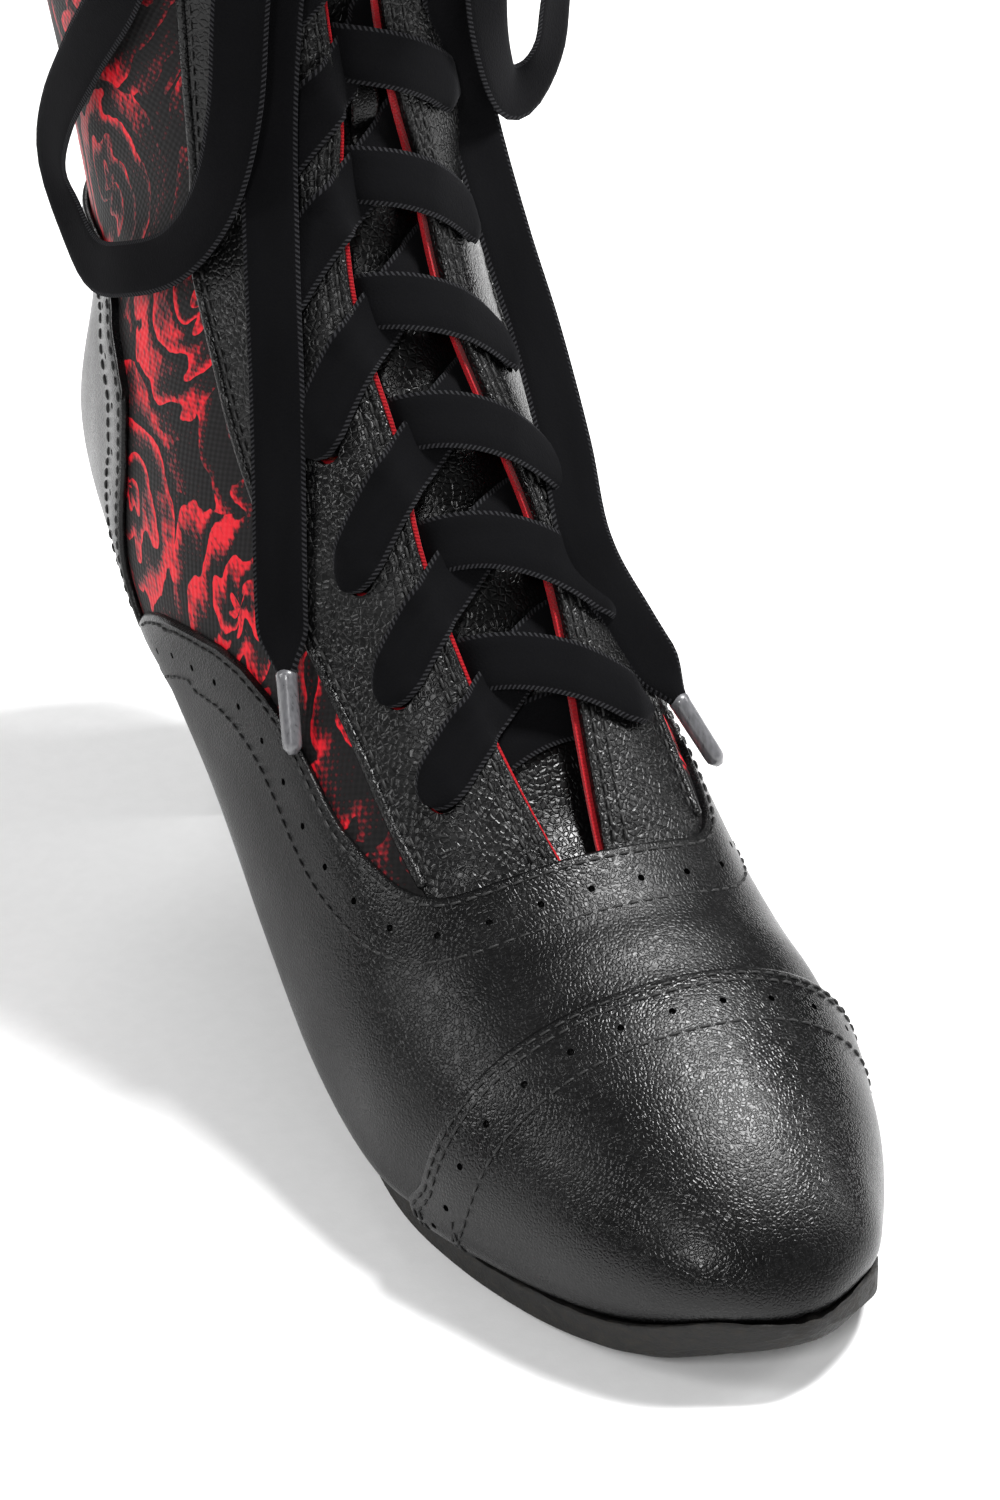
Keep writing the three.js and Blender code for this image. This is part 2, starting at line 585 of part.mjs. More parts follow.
// Heel outline at a height share: half width, breast and back.
function heelSection(v) {
  const waist = Math.sin(Math.PI * Math.min(v / 0.9, 1)) * 3.2;
  const flare = v ** 2.2;
  return {
    half: mix(HEEL_TIP_WIDTH / 2, HEEL_SEAT_WIDTH / 2 - 1, flare) - waist * 0.6,
    front: mix(TIP_FRONT, BREAST_TOP, flare) + waist * 0.5,
    back: mix(TIP_BACK, HEEL_BACK - 3, v ** 1.6) - waist,
  };
}

// A rounded back and a nearly straight front, from a square of shares.
function heelPlan(a, b, section) {
  const across = 2 * a - 1;
  const deep = 2 * b - 1;
  const x = section.half * across * Math.sqrt(1 - (deep > 0 ? 0.55 : 0.12) * deep * deep);
  const sweep = deep > 0 ? Math.sqrt(1 - 0.5 * across * across) : 1 - 0.08 * across * across;
  const middle = mix(section.front, section.back, 0.45);
  const y = deep > 0 ? middle + (section.back - middle) * deep * sweep : middle - (middle - section.front) * -deep * sweep;
  return [HEEL_X + x, y];
}

function heelBlock() {
  const plain = warped(6, 5, 6, (a, b, c) => {
    const [x, y] = heelPlan(a, b, heelSection(c));
    return new THREE.Vector3(x, y, mix(TOP_PIECE_HEIGHT + FIT_GAP, seatHeight(y) + FIT_GAP, c));
  });
  return drilled(plain, [...fastenerCutters(), outsolePlate().translate(0, 0, -FIT_GAP)]);
}

function heelTopPiece() {
  return warped(6, 5, 1, (a, b, c) => {
    const [x, y] = heelPlan(a, b, heelSection(0));
    return new THREE.Vector3(x, y, c * TOP_PIECE_HEIGHT);
  });
}

// The heel is held by one screw and four nails, driven square to the heel seat.
const SCREW = { u: 9.4, across: 0, head: -BOARD[0] - 0.6, reach: 30, radius: SCREW_RADIUS };
const NAILS = [[9.2, 9], [9.2, -9], [9.6, 7], [9.6, -7]].map(([u, across]) => (
  { u, across, head: -BOARD[0] - 0.4, reach: 16, radius: NAIL_RADIUS }
));

function fastenerEnds({ u, across, head, reach }, extra = 0) {
  const place = lastPoint(u, Math.PI);
  const out = lastNormal(u, Math.PI).normal;
  place.x += across;
  return [place.clone().addScaledVector(out, -head - extra), place.clone().addScaledVector(out, reach + extra)];
}

function fastenerCutters() {
  return [SCREW, ...NAILS].map((item) => rod(...fastenerEnds(item, 2), item.radius + BORE_CLEARANCE));
}

// ---------------------------------------------------------------- lacing
function eyelet(row, side) {
  const first = side < 0 ? FIRST_EYELET_OUTER : FIRST_EYELET_INNER;
  const u = stationAt(first + EYELET_PITCH * row);
  return { u, side, distance: gapEdge(u, side) + side * EYELET_INSET };
}

function eyeletCutters(side) {
  const cutters = [];
  for (let row = 0; row < EYELET_ROWS; row += 1) {
    const { u, distance } = eyelet(row, side);
    const angle = angleAtDistance(u, distance);
    cutters.push(rod(skin(u, angle, LINING[0] - 1.5), skin(u, angle, 1.5), EYELET_RADIUS, 6));
  }
  return cutters;
}

// Height of a lace above the last's surface as it crosses, by place across the gap: -1 is the
// facing edge it comes from and 1 the edge it dives under. The lace from the inner side rides on top.
const lowerLace = through([
  [-0.75, LACE_OVER], [-0.33, -1.75], [0, -2.4], [0.35, -3.2], [0.85, LACE_UNDER],
]);
const upperLace = through([
  [-0.35, LACE_OVER], [0, 0.6], [0.35, 0.1], [0.9, LACE_UNDER],
]);
const HOP_STEPS = 10;
const BEND = 2;      // how far from a hole's axis the lace has turned level

// From one eyelet over its own facing, across the gap and under the other facing to the next.
function hop(from, to) {
  const heights = from.side < 0 ? lowerLace : upperLace;
  const stops = [];
  for (let i = 0; i <= HOP_STEPS; i += 1) {
    const t = i / HOP_STEPS;
    const u = mix(from.u, to.u, t);
    const distance = mix(from.distance - from.side * BEND, to.distance - to.side * BEND, t);
    const place = (distance - gapShift(u)) / (-from.side * halfGap(u));
    const open = Math.abs(place) > 1.2 ? LACE_WIDTH : Math.min(LACE_WIDTH, 0.52 * halfGap(u));
    const squeezed = Math.min(i, HOP_STEPS - i) < 1.5 ? LACE_NECK : open;
    stops.push({ u, distance, height: heights(place), width: squeezed });
  }
  return stops;
}

// The lace standing in an eyelet hole, from its lower end to its upper end.
function threaded({ u, distance }) {
  const heights = [LACE_UNDER + 0.7, LINING[0] / 2, LACE_OVER - 0.5];
  return heights.map((height) => ({ u, distance, height, width: LACE_NECK }));
}

function laceRun(firstSide) {
  const stops = [];
  for (let row = 0; row < EYELET_ROWS; row += 1) {
    const here = eyelet(row, firstSide * (-1) ** row);
    stops.push(...threaded(here));
    if (row + 1 < EYELET_ROWS) stops.push(...hop(here, eyelet(row + 1, -here.side)));
  }
  return [...stops, ...laceEnd(eyelet(EYELET_ROWS - 1, firstSide * (-1) ** (EYELET_ROWS - 1)))];
}

const KNOT_STATION = 15.25;
const KNOT_HEIGHT = 6.2;
const KNOT_SIZE = new THREE.Vector3(7.5, 4.8, 6);

// From the top eyelet up over the facing to the side of the knot.
function laceEnd(from) {
  const last = from.side * (KNOT_SIZE.x - 0.5);
  return [0, 0.35, 0.7, 1].map((t) => ({
    u: mix(from.u, KNOT_STATION, t),
    distance: mix(from.distance - from.side * BEND, last, t),
    height: mix(LACE_OVER, KNOT_HEIGHT - 1, t * t),
    width: mix(LACE_NECK, LACE_WIDTH, t),
  }));
}

// The lowest stretch runs straight across beneath both facings.
function bottomBar() {
  const outer = eyelet(0, -1);
  const inner = eyelet(0, 1);
  const stops = [];
  for (let i = 0; i <= HOP_STEPS; i += 1) {
    const t = i / HOP_STEPS;
    const distance = mix(outer.distance + BEND, inner.distance - BEND, t);
    const squeezed = Math.min(i, HOP_STEPS - i) < 1.5 ? LACE_NECK : LACE_WIDTH;
    stops.push({ u: mix(outer.u, inner.u, t), distance, height: LACE_UNDER, width: squeezed });
  }
  return stops;
}

function lacing() {
  const stops = [...laceRun(-1).reverse(), ...bottomBar(), ...laceRun(1)];
  const placed = stops.map(({ u, distance, height, width }) => {
    const angle = angleAtDistance(u, distance);
    return { point: skin(u, angle, height), lengthwise: lastNormal(u, angle).along, width };
  });
  placed.forEach((stop, i) => {
    const before = placed[Math.max(i - 1, 0)].point;
    const after = placed[Math.min(i + 1, placed.length - 1)].point;
    stop.along = after.clone().sub(before).normalize();
    stop.across = stop.lengthwise.clone().addScaledVector(stop.along, -stop.lengthwise.dot(stop.along)).normalize();
  });
  return strip(placed, LACE_THICKNESS);
}

// ---------------------------------------------------------------- bow and free ends
const knotCentre = skin(KNOT_STATION, 0, KNOT_HEIGHT);

function knot() {
  const ball = new THREE.SphereGeometry(1, 12, 8);
  ball.scale(KNOT_SIZE.x, KNOT_SIZE.y, KNOT_SIZE.z);
  return closed(ball.translate(knotCentre.x, knotCentre.y, knotCentre.z));
}

// Routes of the free ribbons, chosen by hand; each starts beside the knot.
const OUTER_TAIL = [
  [-7.2, 70, 233.1], [-12, 73, 223], [-15.5, 80, 203], [-17, 84, 182], [-19.5, 82, 163], [-22, 76.5, 143],
  [-25, 68.5, 123], [-28, 61.5, 105], [-31, 54.5, 88], [-32.5, 49, 78],
];
const INNER_TAIL = [
  [2, 70, 233.1], [7.5, 74, 223], [12, 81, 203], [15, 88, 178], [20, 91.5, 154], [21.5, 81, 135],
  [22.5, 70.5, 121], [21.5, 56, 106.5], [19, 42, 95.5], [25, 38, 81], [31.5, 31, 67],
];
const OUTER_LOOP = [
  [-10.6, 67.6, 242], [-23, 71, 241], [-34, 79, 229], [-40, 87, 209], [-38, 98, 186], [-40, 115, 166],
  [-41, 129, 150], [-41, 135, 138], [-39.5, 132, 129], [-39.5, 120, 125], [-38, 107, 129], [-33.5, 93, 137],
  [-29, 84, 150], [-26, 80, 167], [-24, 80, 186], [-22, 77, 206], [-18, 70, 226], [-11, 63, 238],
];
const INNER_LOOP = [
  [5, 67, 243], [17, 70, 242], [30, 78, 230], [38, 87, 210], [41, 94, 188], [39, 98, 170],
  [37, 97, 160], [32, 95, 154.5], [26.5, 91.5, 156.5], [22.5, 88, 168], [20.5, 85, 184], [18, 77, 206],
  [14, 69, 226], [6, 63, 237],
];
const AGLET_LENGTH = 11.5;
const AGLET_RADIUS = 1.7;

// Outward direction of the boot's surface nearest to a point.
const samples = [];
for (let u = 5; u <= SHAFT_TOP + 0.5; u += 0.25) {
  for (let k = -16; k <= 16; k += 1) samples.push([u, k * Math.PI / 16]);
}

function outwardNear(point) {
  const distances = samples.map(([u, angle]) => lastPoint(u, angle).distanceToSquared(point));
  const nearest = samples[distances.indexOf(Math.min(...distances))];
  return lastNormal(...nearest).normal;
}

function ribbon(route, endWidth, step = 6) {
  const curve = new THREE.CatmullRomCurve3(route.map((p) => new THREE.Vector3(...p)), false, 'centripetal');
  const count = Math.round(curve.getLength() / step);
  const stops = curve.getSpacedPoints(count).map((point, i) => {
    const along = curve.getTangentAt(i / count);
    const across = along.clone().cross(outwardNear(point)).normalize();
    const t = (i / count - 0.86) / 0.14;
    return { point, along, across, width: mix(RIBBON_WIDTH, endWidth, Math.max(t, 0)) };
  });
  stops[0].width = RIBBON_WIDTH * 0.5;
  return strip(stops, RIBBON_THICKNESS);
}

function aglet(route) {
  const end = new THREE.Vector3(...route[route.length - 1]);
  const along = end.clone().sub(new THREE.Vector3(...route[route.length - 2])).normalize();
  const from = end.clone().addScaledVector(along, FIT_GAP);
  return rod(from, from.clone().addScaledVector(along, AGLET_LENGTH), AGLET_RADIUS);
}

// ---------------------------------------------------------------- assembly
const SIDES = [['lateral', -1], ['medial', 1]];

add('toe_cap', toeCap(), LEATHER);
add('vamp', vamp(), LEATHER);
add('heel_counter', heelCounter(), LEATHER);
add('back_strip', backStrip(), LEATHER);
add('collar_binding', collar(), LEATHER);
add('tongue', tongue(), GRAINED);
add('tongue_lace_keeper', laceKeeper(), GRAINED);
SIDES.forEach(([name, side]) => {
  add(`${name}_quarter`, quarter(side), BROCADE);
  add(`${name}_facing`, facing(side), GRAINED);
  add(`${name}_lining`, quarterLining(side), RED_LINING);
});
add('vamp_lining', vampLining(), RED_LINING);
add('toe_puff', toePuff(), STIFF_BOARD);
add('heel_stiffener', heelStiffener(), STIFF_BOARD);
add('insole_board', drilled(floorSheet(BOARD, FLOOR_ROWS), fastenerCutters()), STIFF_BOARD);
add('sock_lining', floorSheet(SOCK, FLOOR_ROWS), SOCK_CLOTH);
add('forepart_filler', floorSheet(FILLER, FLOOR_ROWS.filter((u) => u < SHANK_START)), CORK);
add('steel_shank', steelShank(), STEEL);
add('outsole', outsole(), SOLE_RUBBER);
add('heel_block', heelBlock(), HEEL_PLASTIC);
add('heel_top_piece', heelTopPiece(), SOLE_RUBBER);
add('heel_screw', rod(...fastenerEnds(SCREW), SCREW_RADIUS), STEEL);
NAILS.forEach((nail, i) => add(`heel_nail_${i + 1}`, rod(...fastenerEnds(nail), NAIL_RADIUS, 8), STEEL));
add('lacing', lacing(), VELVET);
add('bow_knot', knot(), VELVET);
add('bow_loop_lateral', ribbon(OUTER_LOOP, RIBBON_WIDTH * 0.5), VELVET);
add('bow_loop_medial', ribbon(INNER_LOOP, RIBBON_WIDTH * 0.5), VELVET);
add('lace_tail_lateral', ribbon(OUTER_TAIL, 3), VELVET);
add('lace_tail_medial', ribbon(INNER_TAIL, 3), VELVET);
add('aglet_lateral', aglet(OUTER_TAIL), AGLET);
add('aglet_medial', aglet(INNER_TAIL), AGLET);

export default boot;
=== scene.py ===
"""The looks of a lace-up ankle boot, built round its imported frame.

Metres in the row frame: toe towards -Y, inner side towards +X, floor at z = 0. Every sheet of the
upper lies on one shoe last: station u runs from the toe tip (0) to the top of the shaft (16), and
the angle runs round each section from the front line (0) to the sole or back seam (pi).
"""
import math

import bmesh
import bpy
import numpy as np
from mathutils import Matrix, Vector


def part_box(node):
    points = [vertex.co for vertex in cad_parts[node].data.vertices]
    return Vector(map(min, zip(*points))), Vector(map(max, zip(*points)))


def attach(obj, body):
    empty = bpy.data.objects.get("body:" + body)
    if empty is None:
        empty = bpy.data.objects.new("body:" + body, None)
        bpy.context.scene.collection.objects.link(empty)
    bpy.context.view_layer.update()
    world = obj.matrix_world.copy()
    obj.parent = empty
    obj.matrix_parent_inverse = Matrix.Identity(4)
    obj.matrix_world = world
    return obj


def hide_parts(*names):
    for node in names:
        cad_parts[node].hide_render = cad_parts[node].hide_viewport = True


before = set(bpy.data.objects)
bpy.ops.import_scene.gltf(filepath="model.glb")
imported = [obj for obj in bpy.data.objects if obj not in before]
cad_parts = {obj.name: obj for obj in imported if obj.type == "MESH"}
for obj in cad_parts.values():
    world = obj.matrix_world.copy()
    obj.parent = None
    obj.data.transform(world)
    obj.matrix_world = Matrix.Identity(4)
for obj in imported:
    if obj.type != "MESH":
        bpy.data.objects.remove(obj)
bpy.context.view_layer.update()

MM = 0.001

# --- camera
TARGET = np.array([4.7, 46.7, 55.8]) * MM
AZIMUTH, ELEVATION, ROLL = (math.radians(v) for v in (-22.4, 32.0, -1.1))
DISTANCE = 808.4 * MM
LENS_MM = 113.3


def in_scene(made):
    bpy.context.scene.collection.objects.link(made)
    return made


def camera():
    back = np.array([math.sin(AZIMUTH) * math.cos(ELEVATION),
                     -math.cos(AZIMUTH) * math.cos(ELEVATION), math.sin(ELEVATION)])
    right = np.array([math.cos(AZIMUTH), math.sin(AZIMUTH), 0.0])
    up = np.cross(back, right)
    c, s = math.cos(ROLL), math.sin(ROLL)
    data = bpy.data.cameras.new("camera")
    data.lens, data.sensor_width, data.clip_start = LENS_MM, 36, 0.01
    made = in_scene(bpy.data.objects.new("camera", data))
    turn = np.eye(4)
    turn[:3] = np.stack([c * right + s * up, c * up - s * right, back, TARGET + back * DISTANCE], 1)
    made.matrix_world = Matrix(turn.tolist())
    bpy.context.scene.camera = made


# --- the last
SOLE_TOP = 4.3                 # mm, the top of the outsole
# Millimetres above the outsole: top y, z, bottom y, z, middle x, half width, lean, widest
# height as a share, and how square the upper and lower halves are.
LAST = [
    (-67, 11.2, -67, 11.2, 8.3, 0, 0, 0.5, 2.2, 2.2),
    (-62, 21.2, -61, 7, 7, 15, 0, 0.42, 2.2, 2.4),
    (-50, 30.2, -50.5, 2.3, 5.6, 24.3, 0, 0.36, 2.2, 3),
    (-33.5, 38.2, -36, 0.1, 4.6, 32, 1, 0.33, 2.2, 3.6),
    (-14, 45, -19, 0, 2.7, 37.6, 2, 0.3, 2.2, 4),
    (5, 52.7, 0, 0.3, 0, 39.5, 3, 0.28, 2.1, 4),
    (23, 68.7, 24, 3.3, -1.3, 39, 3, 0.27, 2, 4),
    (38, 89.7, 51, 10.7, -2.4, 37, 3, 0.28, 1.9, 3.6),
    (52, 110.7, 83, 25.7, -4, 35, 3, 0.3, 1.9, 3.2),
    (66, 129.7, 126, 43.7, -6, 34.3, 2, 0.36, 1.95, 3),
    (75, 145.7, 166, 57.7, -5, 33, 1, 0.45, 2, 2.6),
    (81, 159.7, 171, 85.7, -3, 30.6, 0, 0.5, 2.1, 2.2),
    (86, 175.7, 167, 118.7, -2.6, 34.2, 0, 0.5, 2.1, 2.1),
    (86, 192.7, 169, 152.7, -2.6, 38.3, 0, 0.5, 2.1, 2.1),
    (82.5, 212.2, 172.6, 187.7, -2.6, 41.7, 0, 0.5, 2.1, 2.1),
    (77.5, 231.7, 177, 221.7, -2.6, 44.7, 0, 0.5, 2.1, 2.1),
    (72, 251.7, 182, 251.7, -2.6, 47.6, 0, 0.5, 2.1, 2.1),
    (66.5, 271.7, 187, 281.7, -2.6, 50.5, 0, 0.5, 2.1, 2.1),
]
SHAFT_TOP = 16.0


def last_rows():
    """LAST in metres, with one more row at each end for the curve to run through."""
    rows = np.array(LAST, float)
    rows[:, [1, 3]] += SOLE_TOP
    rows[:, :7] *= MM
    before = rows[1, [2, 3, 0, 1, 4, 5, 6, 7, 8, 9]]
    before[5] *= -1
    return np.vstack([before, rows, 2 * rows[-1] - rows[-2]])


ROWS = last_rows()


def blend(a, b, c, d, t):
    """A Catmull-Rom curve from b to c."""
    return 0.5 * (2 * b + (c - a) * t + (2 * a - 5 * b + 4 * c - d) * t**2 + (3 * b - a - 3 * c + d) * t**3)


def station(u):
    """The columns of LAST at stations u."""
    u = np.asarray(u, float)
    i = np.clip(np.floor(u).astype(int), 0, len(ROWS) - 4)
    return blend(*(ROWS[i + k] for k in range(4)), (u - i)[..., None])


def spread(*values):
    """Arrays of numbers, brought to one shape."""
    return np.broadcast_arrays(*(np.asarray(v, float) for v in values))


def on_last(u, angle):
    """Points of the last at stations u and angles from the front line, positive towards +X."""
    u, angle = spread(u, angle)
    p = np.moveaxis(station(u), -1, 0)
    c, s = np.cos(angle), np.sin(angle)
    n = np.where(c >= 0, p[8], p[9])
    r = (np.abs(c) ** n + np.abs(s) ** n) ** (-1 / n)
    h = p[7] + np.where(c >= 0, 1 - p[7], p[7]) * c * r
    return np.stack([p[4] + p[5] * s * r + p[6] * h, p[2] + (p[0] - p[2]) * h, p[3] + (p[1] - p[3]) * h], -1)


def unit(v):
    return v / np.maximum(np.linalg.norm(v, axis=-1, keepdims=True), 1e-12)


NUDGE = 0.01                   # stations or radians, for measured slopes


def slopes(u, angle):
    """Change of the surface point per station and per radian."""
    low = np.maximum(np.asarray(u, float) - NUDGE, 2 * NUDGE)
    high = np.maximum(np.asarray(u, float) + NUDGE, low + NUDGE)
    along = (on_last(high, angle) - on_last(low, angle)) / (high - low)[..., None]
    u = np.maximum(u, 2 * NUDGE)
    around = (on_last(u, np.add(angle, NUDGE)) - on_last(u, np.subtract(angle, NUDGE))) / (2 * NUDGE)
    return along, around


TOE_NORMAL = unit(np.array([0.05, -0.98, -0.2]))


def outward(u, angle):
    along, around = slopes(u, angle)
    normal = unit(np.cross(around, along))
    tip = np.broadcast_to(np.asarray(u, float), normal.shape[:-1])[..., None] < 1e-6
    return np.where(tip, TOE_NORMAL, normal)


def skin(u, angle, offset):
    """Points a distance off the last's surface."""
    u, angle, offset = spread(u, angle, offset)
    return on_last(u, angle) + outward(u, angle) * offset[..., None]


# Distances round each section from the front line, negative on the outer side.
TABLE_U = np.linspace(0.02, 16.98, 849)
TABLE_A = np.linspace(-math.pi, math.pi, 361)


def girth_table():
    steps = np.linalg.norm(np.diff(on_last(TABLE_U[:, None], TABLE_A), axis=1), axis=2)
    total = np.concatenate([np.zeros((len(TABLE_U), 1)), np.cumsum(steps, axis=1)], axis=1)
    return total - total[:, [len(TABLE_A) // 2]]


GIRTH = girth_table()


def in_table(u, value, x, y):
    """Reads y at a value of x for each station, from the rows of the girth table."""
    u, value = spread(u, value)
    place = np.clip((u - TABLE_U[0]) / (TABLE_U[1] - TABLE_U[0]), 0, len(TABLE_U) - 1.001)
    low = place.astype(int)
    found = np.empty(u.shape)
    for i in np.unique(low):
        here = low == i
        a, b = (np.interp(value[here], x(k), y(k)) for k in (i, i + 1))
        found[here] = a + (b - a) * (place[here] - i)
    return found


def at_distance(u, distance):
    """The angle at a distance round the section."""
    return in_table(u, distance, lambda k: GIRTH[k], lambda k: TABLE_A)


def distance_at(u, angle):
    return in_table(u, angle, lambda k: TABLE_A, lambda k: GIRTH[k])


def half_girth(u, side):
    return np.interp(u, TABLE_U, GIRTH[:, -1] if side > 0 else -GIRTH[:, 0])


def at_share(u, share, side):
    return at_distance(u, side * np.asarray(share) * half_girth(u, side))


def runs(points):
    """The length along a line up to each of its points."""
    return np.concatenate([[0], np.cumsum(np.linalg.norm(np.diff(points, axis=0), axis=1))])


FRONT = runs(on_last(TABLE_U, 0.0))
SIDE_LINE = runs(on_last(TABLE_U, math.pi / 2))


def station_at(distance):
    return np.interp(distance, FRONT, TABLE_U)


def flat_place(u, angle):
    """Where a point would lie if the surface were laid flat: for weaves that follow the cloth."""
    u, angle = spread(u, angle)
    side = np.sign(angle)
    turn = side * (np.abs(distance_at(u, angle)) - np.abs(distance_at(u, side * math.pi / 2)))
    return np.stack([turn, np.interp(u, TABLE_U, SIDE_LINE), side * 0.01], -1)


# --- pattern lines
def smooth(points, steps=10):
    """A smooth curve through points, as dense arrays of its columns."""
    p = np.array(points, float)
    p = np.vstack([2 * p[0] - p[1], p, 2 * p[-1] - p[-2]])
    t = np.linspace(0, 1, steps, endpoint=False)[:, None]
    return np.vstack([*(blend(*four, t) for four in zip(p, p[1:], p[2:], p[3:])), p[-2]]).T


def through(points):
    """A function that reads a smooth curve through (place, value) points."""
    x, y = smooth(points)
    order = np.maximum.accumulate(x)
    return lambda value: np.interp(value, order, y)


MARGIN = math.radians(145)      # the lasted edge, under the foot
WING = 8.8                      # station where the vamp's wing meets the counter
VAMP_EDGE = smooth([
    (0, 5.12), (0.07, 5.13), (0.13, 5.17), (0.18, 5.24), (0.22, 5.35), (0.26, 5.6), (0.29, 5.95),
    (0.33, 6.5), (0.37, 7.3), (0.45, 8.02), (0.56, 8.5), (0.64, 8.72), (0.7, WING),
])
VAMP_EDGE_ANGLE = at_share(VAMP_EDGE[1], VAMP_EDGE[0], 1)
VAMP_EDGE_ANGLE[0] = 0


CAP_LENGTH = 62 * MM            # along the front line


def vamp_top(angle):
    return np.interp(np.abs(angle), VAMP_EDGE_ANGLE, VAMP_EDGE[1])


def cap_seam(angle):
    return station_at(CAP_LENGTH) + 0.55 * np.minimum(np.abs(angle) / 1.9, 1) ** 2.2


counter_low = through([(0.445, 9.95), (0.449, 9.78), (0.46, 9.62), (0.53, 9.32), (0.6, 9.17), (0.67, 9), (0.7, WING)])
counter_top = through([
    (0.445, 9.95), (0.449, 10.15), (0.46, 10.4), (0.53, 10.87), (0.6, 11.17), (0.67, 11.43), (0.8, 11.82),
    (0.94, 12.1), (1.0, 12.14),
])
quarter_rear = through([
    (5.35, 0.22), (5.6, 0.26), (5.95, 0.29), (6.5, 0.33), (7.3, 0.37), (8.02, 0.45), (8.5, 0.56), (8.72, 0.64),
    (8.85, 0.685), (9, 0.67), (9.17, 0.6), (9.32, 0.53), (9.62, 0.46), (9.95, 0.445), (10.4, 0.46),
    (10.87, 0.53), (11.17, 0.6), (11.43, 0.67), (11.82, 0.8), (12.1, 0.94),
])
half_gap = through([(5.1, 4), (6.5, 9.8), (7.4, 12), (8.2, 10.2), (10, 8.4), (11.6, 5), (16, 6), (16.9, 6)])
gap_shift = through([(5.1, 0), (6.5, 1), (8.5, 1.5), (10, 2.5), (11.6, 0.5), (13, 0), (16.9, 0)])
facing_edge = through([
    (5.3, 0.24), (6.5, 0.258), (7.3, 0.285), (7.9, 0.305), (8.5, 0.285), (9.6, 0.246), (11, 0.245),
    (12.5, 0.23), (16, 0.21), (16.9, 0.21),
])


def gap_edge(u, side):
    return (gap_shift(u) + side * half_gap(u)) * MM


# --- meshes
def linked(name, mesh, sharp):
    """A smooth-shaded object in the scene, with edges kept sharp above an angle in degrees."""
    mesh.shade_smooth()
    mesh.set_sharp_from_angle(angle=math.radians(sharp))
    return in_scene(bpy.data.objects.new(name, mesh))


def mesh_object(name, points, faces, flat=None, sharp=35, tidy=True):
    mesh = bpy.data.meshes.new(name)
    mesh.from_pydata(np.asarray(points).tolist(), [], [list(f) for f in faces])
    if flat is not None:
        layer = mesh.attributes.new("flat", "FLOAT_VECTOR", "POINT")
        layer.data.foreach_set("vector", np.asarray(flat, np.float32).ravel())
    if tidy:
        work = bmesh.new()
        work.from_mesh(mesh)
        bmesh.ops.remove_doubles(work, verts=work.verts, dist=2e-6)
        bmesh.ops.dissolve_degenerate(work, edges=work.edges, dist=1e-7)
        bmesh.ops.recalc_face_normals(work, faces=work.faces)
        work.to_mesh(mesh)
        work.free()
    return linked(name, mesh, sharp)


def grid_faces(m, n, start=0):
    i, j = np.meshgrid(np.arange(m - 1), np.arange(n - 1), indexing="ij")
    a = (start + i * n + j).ravel()
    return np.stack([a, a + 1, a + n + 1, a + n], 1)


def ring_faces(rings, sides, start=0):
    """Faces round stacked rings of points, with no ends."""
    return [[start + i * sides + j, start + i * sides + (j + 1) % sides,
             start + (i + 1) * sides + (j + 1) % sides, start + (i + 1) * sides + j]
            for i in range(rings - 1) for j in range(sides)]


def ring_ends(rings, sides, start=0):
    last = start + (rings - 1) * sides
    return [[start + j for j in range(sides)][::-1], [last + j for j in range(sides)]]


def stacked(name, rings, sharp):
    """A closed piece from stacked rings of points."""
    m, sides = len(rings), len(rings[0])
    return mesh_object(name, np.reshape(rings, (-1, 3)), ring_faces(m, sides) + ring_ends(m, sides), sharp=sharp)


def border(m, n):
    """Indices round the edge of a grid, in order."""
    index = np.arange(m * n).reshape(m, n)
    return np.concatenate([index[0], index[1:, -1], index[-1, -2::-1], index[-2:0:-1, 0]])


def shell(name, outer, inner, flat=None, sharp=50):
    """A closed piece from two grids of points, joined round their edges."""
    m, n = outer.shape[:2]
    rim = border(m, n)
    nxt = np.roll(rim, -1)
    walls = np.stack([rim, nxt, nxt + m * n, rim + m * n], 1)
    faces = np.vstack([grid_faces(m, n), grid_faces(m, n, m * n)[:, ::-1], walls])
    points = np.concatenate([outer.reshape(-1, 3), inner.reshape(-1, 3)])
    if flat is not None:
        flat = np.concatenate([flat.reshape(-1, 3)] * 2)
    return mesh_object(name, points, faces, flat, sharp)


def rounded(room, radius=0.7 * MM):
    """How far a rounded edge drops, at a distance from the edge."""
    return radius * (1 - np.sqrt(np.clip(1 - (1 - np.clip(room / radius, 0, 1)) ** 2, 0, 1)))


def ease(low, high, x):
    t = np.clip((np.asarray(x, float) - low) / (high - low), 0, 1)
    return t * t * (3 - 2 * t)


def panel(name, u, angle, high, low):
    """A sheet of the upper over grids of stations and angles, between two offsets."""
    u, angle, high, low = spread(u, angle, high, low)
    return shell(name, skin(u, angle, high), skin(u, angle, low), flat_place(u, angle))


def room_to(edge, points):
    """The distance from each point of a grid to the nearest point of a line."""
    return np.array([np.linalg.norm(edge - q, axis=1).min() for q in points.reshape(-1, 3)]).reshape(points.shape[:-1])


# --- lines on the surface
def moved(u, angle, side_mm):
    """A line on the surface shifted sideways by a distance, to the left of its direction if positive."""
    u, angle = np.array(u, float), np.array(angle, float)
    along, around = slopes(u, angle)
    tangent = unit(np.gradient(on_last(u, angle), axis=0))
    shift = np.cross(outward(u, angle), tangent) * side_mm * MM
    dot = lambda a, b: (a * b).sum(-1)
    gram = np.stack([np.stack([dot(along, along), dot(along, around)], -1),
                     np.stack([dot(along, around), dot(around, around)], -1)], -2)
    right = np.stack([dot(along, shift), dot(around, shift)], -1)
    step = np.linalg.solve(gram, right[..., None])[..., 0]
    return u + step[:, 0], angle + step[:, 1]


